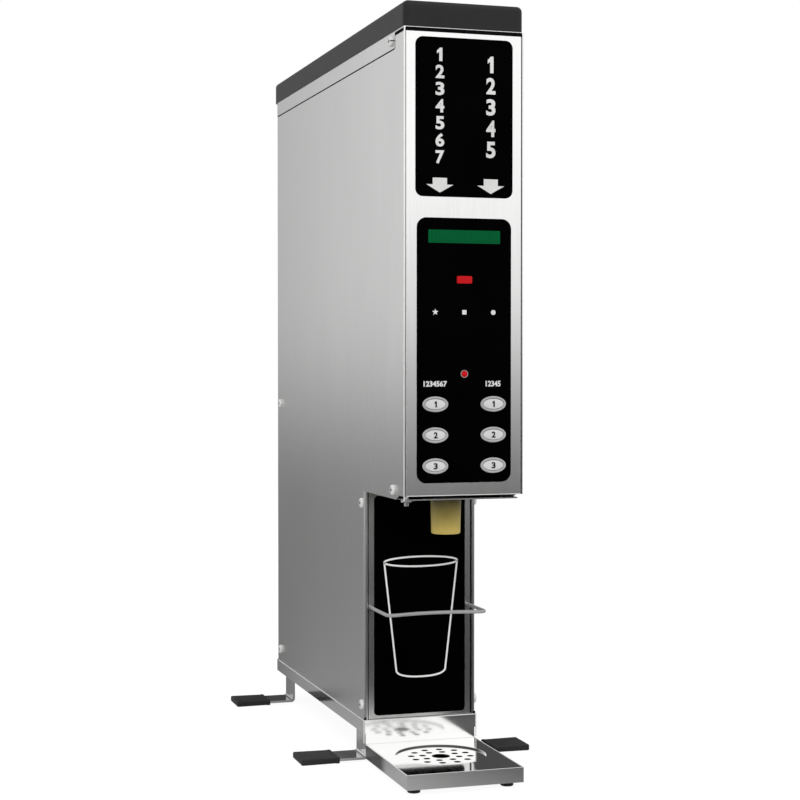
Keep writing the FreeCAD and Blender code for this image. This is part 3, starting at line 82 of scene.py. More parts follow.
class Grain(Enum):
    """The way the polishing lines of a steel sheet run, as lumps in a metre along X, Y and Z."""

    UPRIGHT = (900.0, 900.0, 9.0)
    LENGTHWISE = (900.0, 9.0, 900.0)
    ACROSS = (9.0, 900.0, 900.0)


# ---------------------------------------------------------------- surfaces
def skin(name: str, rings: Array, first: End = End.FAN, last: End = End.FAN,
         ringed: bool = False) -> Object:
    """Join a grid of points into one mesh.

    Formula: quad (i, j) joins the points (i, j), (i, j+1), (i+1, j+1) and (i+1, j), where j wraps
    round each ring. A fan end adds the mean of its ring and one triangle for each of its edges, and
    a flat end is one face with the ring as its border. A hoop has no ends, and its i wraps too.

    Args:
        name: name of the new object.
        rings: points as an array of rings x points in a ring x 3.
        first: how the first ring is closed.
        last: how the last ring is closed.
        ringed: whether the last ring joins the first, as in a hoop.

    Returns:
        The new object, linked to the scene, with its normals outwards.
    """
    rows, columns = rings.shape[:2]
    index = np.arange(rows * columns).reshape(rows, columns)
    beside = np.roll(index, -1, axis=1)
    above, above_beside = np.roll(index, -1, axis=0), np.roll(beside, -1, axis=0)
    quads = np.stack([index, beside, above_beside, above], axis=-1)[:rows if ringed else rows - 1]
    faces = quads.reshape(-1, 4).tolist()
    points = rings.reshape(-1, 3)
    for end, row in () if ringed else ((first, 0), (last, -1)):
        if end is End.FLAT:
            faces.append(index[row].tolist())
            continue
        hub = np.full(columns, len(points))
        points = np.vstack([points, rings[row].mean(axis=0)])
        faces += np.stack([index[row], beside[row], hub], axis=-1).tolist()
    return mesh_object(name, points, faces)


def mesh_object(name: str, points: Array, faces: Sequence[Sequence[int]]) -> Object:
    """Make an object at the origin from points and faces, and turn its faces outwards.

    Args:
        name: name of the new object and its mesh.
        points: points as an array of n x 3, in metres.
        faces: point numbers of each face.

    Returns:
        The new object, linked to the scene.
    """
    mesh = bpy.data.meshes.new(name)
    mesh.from_pydata(points.tolist(), [], faces)
    work = bmesh.new()
    work.from_mesh(mesh)
    bmesh.ops.remove_doubles(work, verts=work.verts, dist=MERGE)
    bmesh.ops.recalc_face_normals(work, faces=work.faces)
    work.to_mesh(mesh)
    work.free()
    mesh.shade_smooth()
    mesh.set_sharp_from_angle(angle=math.radians(CREASE))
    piece = bpy.data.objects.new(name, mesh)
    bpy.context.scene.collection.objects.link(piece)
    return piece


def oval_rings(rows: Array, count: int = 48) -> Array:
    """Give a ring of flat points for each row of half sizes.

    Formula: point = (A cos t, B sin t), with t evenly from 0 to a full turn.

    Args:
        rows: half width A and half height B of each ring, as an array of rows x 2.
        count: points in a ring.

    Returns:
        An array of rows x count x 2.
    """
    turn = np.linspace(0, TURN, count, endpoint=False)
    return np.stack([rows[:, :1] * np.cos(turn), rows[:, 1:2] * np.sin(turn)], axis=-1)


def block_rings(rows: Array, count: int = 8) -> Array:
    """Give a ring in the shape of a rectangle with round corners for each row.

    Formula: each quarter turn is centred on (A - r, B - r) with its signs, plus r times the cosine
    and sine of the angle.

    Args:
        rows: half width A, half height B and corner r of each ring, as an array of rows x 3.
        count: points in each corner.

    Returns:
        An array of rows x 4 count x 2.
    """
    quarter = np.linspace(0, math.pi / 2, count)
    turn = np.concatenate([quarter + k * math.pi / 2 for k in range(4)])
    sign = np.repeat([[1, 1], [-1, 1], [-1, -1], [1, -1]], count, axis=0)
    radius = rows[:, None, 2:3]
    inner = (rows[:, None, :2] - radius) * sign
    return inner + radius * np.stack([np.cos(turn), np.sin(turn)], axis=-1)


def facing(rings: Array, depth: Array, place: Pair) -> Array:
    """Stand flat rings upright, so that their depth runs along Y.

    Formula: (u, v) of row i goes to (x + u, depth i, z + v).

    Args:
        rings: flat rings, rows x points x 2.
        depth: y of each row.
        place: x and z of the middle.

    Returns:
        Points of rows x points x 3.
    """
    along = np.broadcast_to(depth[:, None], rings.shape[:2])
    return np.stack([rings[..., 0] + place[0], along, rings[..., 1] + place[1]], axis=-1)


def standing(rings: Array, height: Array, place: Pair) -> Array:
    """Lay flat rings level, so that their height runs along Z.

    Formula: (u, v) of row i goes to (x + u, y + v, height i).

    Args:
        rings: flat rings, rows x points x 2.
        height: z of each row.
        place: x and y of the middle.

    Returns:
        Points of rows x points x 3.
    """
    along = np.broadcast_to(height[:, None], rings.shape[:2])
    return np.stack([rings[..., 0] + place[0], rings[..., 1] + place[1], along], axis=-1)


def round_over(outer: float, low: float, high: float, edge: float, steps: int = 5) -> Array:
    """Give the profile of an upright wall whose far edge is rounded.

    Formula: from (outer, low) straight to (outer, high - edge), then a quarter circle of radius
    edge to (outer - edge, high). The direction of edge follows that of high from low.

    Args:
        outer: offset of the wall.
        low: where the wall starts.
        high: where its rounded end is.
        edge: radius of the rounding.
        steps: points on the rounding.

    Returns:
        Pairs of offset and position, rows x 2.
    """
    turn = np.linspace(0, math.pi / 2, steps)
    way = math.copysign(edge, high - low)
    arc = np.stack([outer - edge + edge * np.cos(turn), high - way + way * np.sin(turn)], axis=-1)
    return np.vstack([[outer, low], arc])


def ribbon(path: Array, width: float, ringed: bool) -> Array:
    """Carry a thin flat section along a path on the plane of a label.

    Formula: the unit tangent of the path turned by a right angle gives the side, and each ring is
    the path's point plus and minus half the width along that side, at the front and at the back.

    Args:
        path: points x and z, n x 2.
        width: width of the line.
        ringed: whether the path closes on itself.

    Returns:
        Rings of four points (u, v, front), n x 4 x 3, where front is 1 or 0.
    """
    if ringed:
        tangent = np.roll(path, -1, axis=0) - np.roll(path, 1, axis=0)
    else:
        tangent = np.gradient(path, axis=0)
    tangent /= np.linalg.norm(tangent, axis=1, keepdims=True)
    side = np.stack([-tangent[:, 1], tangent[:, 0]], axis=-1) * width / 2
    edges = np.stack([path + side, path + side, path - side, path - side], axis=1)
    front = np.broadcast_to(np.array([0.0, 1.0, 1.0, 0.0])[:, None], edges.shape[:2] + (1,))
    return np.concatenate([edges, front], axis=-1)


def tube(name: str, path: Array, normal: Point, radius: float,
         count: int = 20) -> Object:
    """Carry a circle along a path that lies in one plane, square to its direction.

    Formula: point = path + radius (cos t side + sin t normal), where side is the unit tangent
    crossed with the normal of the plane.

    Args:
        name: name of the new object.
        path: points of the middle line, n x 3.
        normal: unit normal of the path's plane.
        radius: radius of the circle.
        count: points in the circle.

    Returns:
        The new object, with both ends closed.
    """
    tangent = np.gradient(path, axis=0)
    tangent /= np.linalg.norm(tangent, axis=1, keepdims=True)
    side = np.cross(tangent, normal)
    turn = np.linspace(0, TURN, count, endpoint=False)[:, None]
    return skin(name, path[:, None] + radius * (np.cos(turn) * side[:, None] + np.sin(turn) * normal))


def glyph(text: str, weight: float) -> tuple[Array, list[list[int]]]:
    """Turn a short text into a flat mesh that fills a unit square.

    The numeral 1 alone has its own outline, whose stem is as wide as those of the others.

    Args:
        text: what to draw.
        weight: how far the strokes are thickened, in parts of the letter's size.

    Returns:
        Its points, n x 2 from 0 to 1, and its faces.
    """
    if text == "1":
        return ONE, [list(range(len(ONE)))]
    curve = bpy.data.curves.new("glyph", "FONT")
    curve.body = text
    curve.offset = weight
    curve.resolution_u = CURVE_STEPS
    carrier = bpy.data.objects.new("glyph", curve)
    mesh = bpy.data.meshes.new_from_object(carrier)
    flat = np.zeros(len(mesh.vertices) * 3)
    mesh.vertices.foreach_get("co", flat)
    flat = flat.reshape(-1, 3)[:, :2]
    faces = [list(polygon.vertices) for polygon in mesh.polygons]
    bpy.data.objects.remove(carrier)
    bpy.data.curves.remove(curve)
    bpy.data.meshes.remove(mesh)
    low, high = flat.min(axis=0), flat.max(axis=0)
    return (flat - low) / (high - low), faces


# ---------------------------------------------------------------- finishes
class Graph:
    """The node tree of one finish, with short calls for the nodes that finishes share."""

    def __init__(self, name: str) -> None:
        """Start an empty material with its output node.

        Args:
            name: name of the material.
        """
        self.material = bpy.data.materials.new(name)
        self.material.use_nodes = True
        self.tree = self.material.node_tree
        self.tree.nodes.clear()
        self.output = self.tree.nodes.new("ShaderNodeOutputMaterial")
        self.place = self.tree.nodes.new("ShaderNodeTexCoord").outputs["Object"]

    def add(self, kind: str, values: dict[str, object] | None = None,
            **settings: object) -> bpy.types.Node:
        """Add a node.

        Args:
            kind: its type, without the leading ShaderNode.
            values: numbers, colours or sockets for its inputs, by name or number.
            settings: values for its own properties.

        Returns:
            The new node.
        """
        node = self.tree.nodes.new(f"ShaderNode{kind}")
        for key, value in settings.items():
            setattr(node, key, value)
        for key, value in (values or {}).items():
            if isinstance(value, Socket):
                self.tree.links.new(value, node.inputs[key])
            else:
                node.inputs[key].default_value = value
        return node

    def noise(self, scale: Sequence[float], detail: float = 4.0, roughness: float = 0.6,
              shift: float = 0.0) -> Socket:
        """Give a noise from 0 to 1.

        Args:
            scale: lumps in a metre along X, Y and Z.
            detail: number of its finer layers.
            roughness: strength of its finer layers.
            shift: how far it is moved, so that two noises differ.

        Returns:
            The socket with its value.
        """
        mapping = self.add("Mapping", {"Vector": self.place, "Scale": tuple(scale),
                                       "Location": (shift, shift, shift)})
        return self.add("TexNoise", {"Vector": mapping.outputs[0], "Scale": 1.0, "Detail": detail,
                                     "Roughness": roughness}).outputs["Fac"]

    def ramp(self, value: Socket, *stops: tuple[float, Colour]) -> Socket:
        """Turn a number into a colour that passes through the given stops.

        Args:
            value: the number, from 0 to 1.
            stops: positions in rising order, each with its colour.

        Returns:
            The socket with the colour.
        """
        node = self.add("ValToRGB", {"Fac": value})
        elements = node.color_ramp.elements
        while len(elements) < len(stops):
            elements.new(0.5)
        for element, (position, colour) in zip(elements, stops):
            element.position = position
            element.color = (*colour, 1.0)
        return node.outputs["Color"]

    def between(self, value: Socket, low: float, high: float,
                start: float = 0.3, stop: float = 0.7) -> Socket:
        """Map a noise to a range, so that start gives low and stop gives high."""
        return self.add("MapRange", {"Value": value, "From Min": start, "From Max": stop,
                                     "To Min": low, "To Max": high}).outputs[0]

    def bump(self, height: Socket, depth: float) -> Socket:
        """Turn a height from 0 to 1 into a normal, with the given real depth in metres."""
        return self.add("Bump", {"Height": height, "Distance": depth}).outputs["Normal"]

    def math(self, operation: str, *numbers: Socket | float) -> Socket:
        """Combine numbers by one of the node's operations."""
        return self.add("Math", dict(enumerate(numbers)), operation=operation).outputs[0]

    def mix(self, share: Socket | float, under: Socket, over: Socket | Sequence[float],
            blend: str = "MIX") -> Socket:
        """Lay one colour over another by a share; inputs 6 and 7 of the node are its two colours."""
        return self.add("Mix", {0: share, 6: under, 7: over}, data_type="RGBA", blend_type=blend).outputs[2]

    def axes(self) -> Sequence[Socket]:
        """Give the X, Y and Z of a point of the surface, in metres."""
        return self.add("SeparateXYZ", {"Vector": self.place}).outputs

    def away(self, place: Sequence[float]) -> Socket:
        """Give the distance of a point of the surface from a place."""
        return self.add("VectorMath", {0: self.place, 1: place}, operation="DISTANCE").outputs[1]

    def surface(self, values: dict[str, object]) -> bpy.types.Material:
        """Send the standard shader with these values to the output and give the material."""
        return self.finish(self.add("BsdfPrincipled", values).outputs[0])

    def finish(self, shader: Socket) -> bpy.types.Material:
        """Send a shader to the output and give the material."""
        self.tree.links.new(shader, self.output.inputs["Surface"])
        return self.material


@dataclass(frozen=True)
class Steel:
    """Stainless sheet with fine polishing lines and cloudy patches."""

    name: str
    grain: Grain = Grain.UPRIGHT
    pale: Colour = (0.63, 0.63, 0.625)
    dull: Colour = (0.57, 0.57, 0.568)
    smooth: float = 0.2
    rough: float = 0.29
    line_depth: float = 0.000012
    line_share: float = 0.45
    cloud_share: float = 0.55
    cloud_scale: Point = (7.0, 7.0, 3.0)

    def build(self) -> bpy.types.Material:
        """Make the material: lines stretched along the grain move colour, gloss and height.

        Returns:
            The new material.
        """
        graph = Graph(self.name)
        lines = graph.noise(self.grain.value, 5.0, 0.7)
        clouds = graph.noise(self.cloud_scale, 3.0, 0.5, 4.0)
        blend = graph.math("ADD", graph.between(lines, 0.0, self.line_share),
                           graph.between(clouds, 0.0, self.cloud_share))
        colour = graph.ramp(blend, (0.0, self.dull), (1.0, self.pale))
        gloss = graph.between(blend, self.rough, self.smooth, 0.0, 1.0)
        colour, gloss = self.worked(graph, colour, gloss)
        return graph.surface({
            "Base Color": colour, "Metallic": 1.0, "Roughness": gloss,
            "Normal": graph.bump(lines, self.line_depth)})

    def worked(self, graph: Graph, colour: Socket, gloss: Socket) -> tuple[Socket, Socket]:
        """Give the colour and roughness of the sheet as they are; a worked sheet changes them."""
        return colour, gloss


@dataclass(frozen=True)
class TraySteel(Steel):
    """Sheet of the tray cover: rougher on its folded sides, with painted shade on the rear wall of its
    recess.

    The rim is the half width and the front of its flat top. The recess has a middle and a radius, and the
    painted shade on its wall comes in between two borders each below its top, from its middle to the rear,
    and inside its radius.
    """

    side_rough: float = 0.3
    rim: Pair = (0.0557, FACE - 0.0059)
    rim_blend: float = 0.0004
    recess: Point = (0.0, FACE + 0.0660, 0.0190)
    recess_radius: float = 0.0430
    # Painted shade: near black colour and its borders for the rear wall of the recess, standing in for its
    # shadow.
    wall_colour: Colour = (0.03, 0.03, 0.03)
    wall_share: float = 0.92
    wall_below: Pair = (-0.0003, -0.0001)
    wall_rear: Pair = (-0.006, 0.012)
    wall_inside: Pair = (-0.0006, -0.0002)

    def worked(self, graph: Graph, colour: Socket, gloss: Socket) -> tuple[Socket, Socket]:
        """Change the roughness outside the rim, and paint shade on the rear wall of the recess.

        Args:
            graph: the node tree that is being made.
            colour: colour of the sheet.
            gloss: roughness of the sheet.

        Returns:
            The new colour and roughness.
        """
        across, along, _ = graph.axes()
        beside = graph.math("ABSOLUTE", across)
        beside = graph.between(beside, 0.0, 1.0, self.rim[0] - self.rim_blend, self.rim[0])
        before = graph.between(along, 1.0, 0.0, self.rim[1], self.rim[1] + self.rim_blend)
        outside = graph.math("MAXIMUM", beside, before)
        gloss = graph.add("Mix", {0: outside, 2: gloss, 3: self.side_rough}).outputs[0]
        # Painted shade: the rear wall of the recess is darkened to stand in for its own shadow.
        colour = graph.mix(self.wall(graph), colour, (*self.wall_colour, 1.0))
        return colour, gloss

    def wall(self, graph: Graph) -> Socket:
        """Find where shade is painted on the rear wall of the recess, which stands in its own shadow.

        Formula: the product of three shares. One rises with the distance from the recess's middle,
        just inside its radius, one falls with the height just below its top, and one rises from its
        middle to the rear.

        Args:
            graph: the node tree that is being made.

        Returns:
            The socket with a share from 0 to nearly 1.
        """
        _, middle, top = self.recess
        _, along, up = graph.axes()
        share = graph.between(graph.away(self.recess), 0.0, self.wall_share,
                              *(self.recess_radius + border for border in self.wall_inside))
        below = graph.between(up, 1.0, 0.0, *(top + border for border in self.wall_below))
        rear = graph.between(along, 0.0, 1.0, *(middle + border for border in self.wall_rear))
        for other in (below, rear):
            share = graph.math("MULTIPLY", share, other)
        return share


@dataclass(frozen=True)
class Plastic:
    """Moulded or printed plastic: a fine skin, a slow change of shade and uneven gloss."""

    name: str
    colour: Colour
    shade: Colour
    smooth: float
    rough: float
    skin_size: float = 0.0012
    skin_depth: float = 0.00002
    gloss_level: float = 0.5
    through: float = 0.0
    cloud_scale: Point = (22.0, 22.0, 22.0)

    def build(self) -> bpy.types.Material:
        """Make the material: slow clouds move the shade, and a fine noise the gloss and height.

        Returns:
            The new material.
        """
        graph = Graph(self.name)
        clouds = graph.noise(self.cloud_scale, 3.0, 0.55)
        fine = graph.noise((1 / self.skin_size,) * 3, 3.0, 0.6, 9.0)
        colour = graph.ramp(graph.between(clouds, 0.0, 1.0), (0.0, self.shade), (1.0, self.colour))
        gloss = graph.between(fine, self.smooth, self.rough)
        return graph.surface({
            "Base Color": colour, "Roughness": gloss, "Specular IOR Level": self.gloss_level,
            "Transmission Weight": self.through, "Normal": graph.bump(fine, self.skin_depth)})


@dataclass(frozen=True)
class Amber:
    """Clouded amber plastic of the nozzle, with painted shade that darkens it where it goes up into the
    cabinet, under the head.
    """

    name: str = "amber_plastic"
    top: float = FLOOR
    tip: float = NOZZLE_TIP
    pale: Colour = (0.58, 0.45, 0.115)
    # Painted shade: the dark colour at the top of the nozzle, in the shadow of the head.
    deep: Colour = (0.060, 0.050, 0.014)
    smooth: float = 0.28
    rough: float = 0.4
    skin_scale: Point = (600.0, 600.0, 600.0)
    skin_depth: float = 0.00002
    cloud_scale: Point = (70.0, 70.0, 38.0)
    cloud: float = 0.05

    def build(self) -> bpy.types.Material:
        """Make the material: the height picks how much painted shade darkens the colour, and slow waves
        cloud it.

        Returns:
            The new material.
        """
        graph = Graph(self.name)
        _, _, up = graph.axes()
        # Painted shade: the colour darkens from the tip up to the floor of the head.
        rise = graph.between(up, 0.0, 1.0, self.tip, self.top)
        wave = graph.between(graph.noise(self.cloud_scale, 2.0, 0.5), -self.cloud, self.cloud)
        depth = graph.math("ADD", rise, wave)
        middle = tuple((pale + deep) / 2 for pale, deep in zip(self.pale, self.deep))
        colour = graph.ramp(depth, (0.1, self.pale), (0.55, middle), (0.95, self.deep))
        fine = graph.noise(self.skin_scale, 3.0, 0.6)
        return graph.surface({
            "Base Color": colour, "Roughness": graph.between(fine, self.smooth, self.rough),
            "Specular IOR Level": 0.35, "Subsurface Weight": 0.25, "Subsurface Scale": 0.004,
            "Subsurface Radius": (1.0, 0.6, 0.25), "Normal": graph.bump(fine, self.skin_depth)})


@dataclass(frozen=True)
class Display:
    """Green display behind its window, with the faint cells of its characters."""

    name: str = "display_window"
    bright: Colour = (0.0016, 0.098, 0.030)
    dark: Colour = (0.0012, 0.070, 0.021)
    cell_width: float = 0.0034
    cell_height: float = 0.0052
    joint: float = 0.00025
    smooth: float = 0.3
    rough: float = 0.4

    def build(self) -> bpy.types.Material:
        """Make the material: a brick pattern without offset gives the cells, and clouds the glow.

        Returns:
            The new material.
        """
        graph = Graph(self.name)
        across, _, up = graph.axes()
        flat = graph.add("CombineXYZ", {"X": across, "Y": up})
        cells = graph.add("TexBrick", {
            "Vector": flat.outputs[0], "Scale": 1.0, "Mortar Size": self.joint, "Mortar Smooth": 0.6,
            "Brick Width": self.cell_width, "Row Height": self.cell_height}, offset=0.0)
        clouds = graph.noise((30.0, 30.0, 60.0), 2.0)
        glow = graph.math("SUBTRACT", graph.between(clouds, 0.2, 1.0), cells.outputs["Fac"])
        colour = graph.ramp(graph.between(glow, 0.0, 1.0, -0.8, 1.0), (0.0, self.dark), (1.0, self.bright))
        return graph.surface({
            "Base Color": colour, "Roughness": graph.between(clouds, self.smooth, self.rough),
            "Specular IOR Level": 0.02})


@dataclass(frozen=True)
class Board:
    """Green circuit board with a weave of copper tracks under its lacquer."""

    name: str = "circuit_board"
    lacquer: Colour = (0.012, 0.13, 0.04)
    track: Colour = (0.03, 0.24, 0.07)
    squares: float = 420.0
    smooth: float = 0.25
    rough: float = 0.4
    track_height: float = 0.00004

    def build(self) -> bpy.types.Material:
        """Make the material: a fine checker broken up by noise stands for the tracks.

        Returns:
            The new material.
        """
        graph = Graph(self.name)
        checker = graph.add("TexChecker", {"Vector": graph.place, "Scale": self.squares}).outputs["Fac"]
        broken = graph.math("MULTIPLY", checker, graph.noise((160.0,) * 3, 2.0))
        colour = graph.ramp(broken, (0.1, self.lacquer), (0.6, self.track))
        return graph.surface({
            "Base Color": colour, "Roughness": graph.between(broken, self.smooth, self.rough),
            "Normal": graph.bump(broken, self.track_height)})


@dataclass(frozen=True)
class CrossHead:
    """Bright heads of the screws, with painted shade inside the cross recess of those on the side panels.

    The seats are the places along Y and Z of those screws, and the arm and the slot are half the
    length and half the width of a cross's bars.
    """

    name: str = "screw_steel"
    pale: Colour = (0.76, 0.76, 0.75)
    dull: Colour = (0.66, 0.66, 0.65)
    # dark: painted shade for the inside of the cross recesses.
    dark: Colour = (0.02, 0.02, 0.02)
    smooth: float = 0.2
    rough: float = 0.3
    skin_scale: Point = (1300.0, 1300.0, 1300.0)
    arm: float = 0.00260
    slot: float = 0.00062
    seats: tuple[Pair, ...] = (
        (-0.2190, 0.2731), (-0.1145, 0.2532), (-0.1145, 0.0565), (0.2292, 0.3420), (0.2292, 0.0565),
        (-0.2126, 0.6823))

    def cross(self, graph: Graph) -> Socket:
        """Give 1 inside a cross on every seat, where the shade of the recess is painted.

        Formula: with the smallest distance along Y and the smallest along Z to any seat, a point is
        inside where one is less than the arm and the other less than the slot. Crosses where the
        lines of two seats meet aren't seen, because only screws wear this finish.

        Args:
            graph: the node tree that is being made.

        Returns:
            The socket with 1 inside and 0 outside.
        """
        nearest: Socket | None = None
        for y, z in self.seats:
            off = graph.add("VectorMath", {0: graph.place, 1: (0.0, y, z)}, operation="SUBTRACT").outputs[0]
            off = graph.add("VectorMath", {0: off}, operation="ABSOLUTE").outputs[0]
            if nearest is not None:
                off = graph.add("VectorMath", {0: nearest, 1: off}, operation="MINIMUM").outputs[0]
            nearest = off
        _, along, up = graph.add("SeparateXYZ", {"Vector": nearest}).outputs
        bars = []
        for reach, rise in ((self.arm, self.slot), (self.slot, self.arm)):
            near = graph.math("LESS_THAN", along, reach)
            level = graph.math("LESS_THAN", up, rise)
            bars.append(graph.math("MULTIPLY", near, level))
        return graph.math("MAXIMUM", bars[0], bars[1])

    def build(self) -> bpy.types.Material:
        """Make the material: fine noise moves tone and gloss, and the cross picks the painted recess shade.

        Returns:
            The new material.
        """
        graph = Graph(self.name)
        fine = graph.noise(self.skin_scale, 3.0, 0.6)
        colour = graph.ramp(fine, (0.3, self.dull), (0.7, self.pale))
        # Painted shade: the cross recesses are coloured dark.
        colour = graph.mix(self.cross(graph), colour, (*self.dark, 1.0))
        return graph.surface({
            "Base Color": colour, "Roughness": graph.between(fine, self.smooth, self.rough),
            "Specular IOR Level": 0.7})


Finish = Steel | Plastic | Amber | Display | Board | CrossHead
FINISHES: dict[str, Finish] = {finish.name: finish for finish in (
    Steel("sheet_steel"),
    Steel("polished_steel", Grain.ACROSS, pale=(0.70, 0.70, 0.695), dull=(0.64, 0.64, 0.638),
          smooth=0.035, rough=0.1, line_depth=0.000002),
    Steel("apron_steel", Grain.ACROSS, pale=(0.79, 0.79, 0.785), dull=(0.73, 0.73, 0.727), smooth=0.09,
          rough=0.13, line_depth=0.000003),
    TraySteel("tray_steel", Grain.ACROSS, pale=(0.69, 0.69, 0.685), dull=(0.63, 0.63, 0.627),
              smooth=0.05, rough=0.08, line_depth=0.000002),
    Plastic("wire_steel", (0.34, 0.34, 0.34), (0.27, 0.27, 0.27), smooth=0.3, rough=0.4,
            skin_size=0.0008, skin_depth=0.000006, gloss_level=0.7),
    # Painted highlight: bright matte finish for the rods on the folded edges.
    Plastic("edge_highlight", (0.80, 0.80, 0.79), (0.70, 0.70, 0.69), smooth=0.25, rough=0.35,
            skin_size=0.0008, skin_depth=0.000004, gloss_level=0.6),
    Steel("pan_steel", Grain.LENGTHWISE, smooth=0.24, rough=0.36),
    CrossHead(),
    Steel("thumb_steel", Grain.UPRIGHT, pale=(0.74, 0.74, 0.73), dull=(0.6, 0.6, 0.6), smooth=0.14,
          rough=0.24),
    Plastic("lid_plastic", (0.0118, 0.0118, 0.0122), (0.0084, 0.0084, 0.0088), smooth=0.42, rough=0.56,
            skin_size=0.0009, skin_depth=0.00003, gloss_level=0.2),
    Plastic("label_film", (0.0008, 0.0008, 0.0008), (0.0004, 0.0004, 0.0004), smooth=0.2, rough=0.3,
            skin_size=0.0016, skin_depth=0.000004, gloss_level=0.004),
    Display(),
    Plastic("display_module", (0.05, 0.05, 0.052), (0.03, 0.03, 0.032), smooth=0.4, rough=0.6),
    Board(),
    Plastic("key_plastic", (0.64, 0.64, 0.635), (0.58, 0.58, 0.575), smooth=0.3, rough=0.42,
            skin_size=0.0008, skin_depth=0.000012, gloss_level=0.3),
    Plastic("rim_plastic", (0.43, 0.43, 0.43), (0.36, 0.36, 0.36), smooth=0.3, rough=0.45),
    Plastic("red_plastic", (0.56, 0.009, 0.012), (0.46, 0.006, 0.009), smooth=0.25, rough=0.38,
            gloss_level=0.08),
    Amber(),
    Plastic("chute_plastic", (0.75, 0.74, 0.70), (0.66, 0.65, 0.61), smooth=0.35, rough=0.5),
    Plastic("hopper_plastic", (0.78, 0.78, 0.76), (0.7, 0.7, 0.68), smooth=0.3, rough=0.45,
            through=0.15),
    Plastic("screw_plastic", (0.72, 0.71, 0.66), (0.62, 0.61, 0.56), smooth=0.35, rough=0.5),
    Plastic("gear_plastic", (0.62, 0.60, 0.52), (0.5, 0.48, 0.4), smooth=0.4, rough=0.55),
    Steel("motor_metal", Grain.LENGTHWISE, pale=(0.5, 0.5, 0.5), dull=(0.38, 0.38, 0.38), smooth=0.3,
          rough=0.42),
    Steel("supply_metal", Grain.ACROSS, pale=(0.6, 0.6, 0.59), dull=(0.45, 0.45, 0.44), smooth=0.35,
          rough=0.5),
    Plastic("inlet_plastic", (0.02, 0.02, 0.021), (0.012, 0.012, 0.013), smooth=0.35, rough=0.5),
    Plastic("foot_rubber", (0.024, 0.024, 0.024), (0.016, 0.016, 0.016), smooth=0.5, rough=0.68,
            skin_size=0.0011, skin_depth=0.00004, gloss_level=0.2),
    Plastic("print_white", (0.70, 0.70, 0.69), (0.60, 0.60, 0.59), smooth=0.4, rough=0.55,
            skin_size=0.0006, skin_depth=0.00001, gloss_level=0.05),
    Plastic("print_bright", (0.84, 0.84, 0.83), (0.76, 0.76, 0.75), smooth=0.4, rough=0.55,
            skin_size=0.0006, skin_depth=0.00001, gloss_level=0.05),
    # Painted shade: near black finish of the blocks and cords that stand in for the shadow in the cabinet's
    # gaps.
    Plastic("gap_shade_black", (0.0035, 0.0035, 0.0035), (0.002, 0.002, 0.002), smooth=0.8, rough=0.95,
            skin_size=0.0007, skin_depth=0.00006, gloss_level=0.05),
    Plastic("print_black", (0.004, 0.004, 0.004), (0.002, 0.002, 0.002), smooth=0.4, rough=0.5,
            skin_size=0.0006, skin_depth=0.00001, gloss_level=0.1),
)}

# Nodes that wear another finish than the one their material slot names.
NODE_FINISHES: dict[str, str] = {"base_frame": "apron_steel", "tray_cover": "tray_steel"}


@dataclass
class Wardrobe:
    """Keeps one material for each finish and gives it to pieces and carried-over nodes."""

    made: dict[str, bpy.types.Material] = field(default_factory=dict)

    def get(self, name: str) -> bpy.types.Material:
        """Give the material of a finish, made at its first use.

        Args:
            name: the finish.

        Returns:
            Its material.
        """
        if name not in self.made:
            self.made[name] = FINISHES[name].build()
        return self.made[name]

    def dress(self, piece: Object, name: str) -> None:
        """Put one finish on every slot of a piece.

        Args:
            piece: the object.
            name: the finish.
        """
        if not piece.material_slots:
            piece.data.materials.append(None)
        for slot in piece.material_slots:
            slot.material = self.get(name)

    def dress_nodes(self) -> int:
        """Put its own finish, or that of its record slot, on every node.

        Returns:
            The number of nodes.
        """
        for part in frame["record"]["subparts"]:
            node = part["node"]
            self.dress(frame["nodes"][node], NODE_FINISHES.get(node, part["material_slot"]))
        return len(frame["record"]["subparts"])


def place_piece(piece: Object, body: str, slot: str, finish: str, clothes: Wardrobe,
                *replaced: str) -> Object:
    """Dress a new piece, let it ride on its body and hide the nodes that it stands for.

    Args:
        piece: the new object.
        body: the body it moves with.
        slot: the record's material slot; not used.
        finish: the finish it wears.
        clothes: where the finishes are kept.
        replaced: nodes that the piece stands for.

    Returns:
        The same piece.
    """
    clothes.dress(piece, finish)
    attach(piece, body)
    if replaced:
        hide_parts(*replaced)
    LOG.info("%s rides on %s in %s", piece.name, body, finish)
    return piece


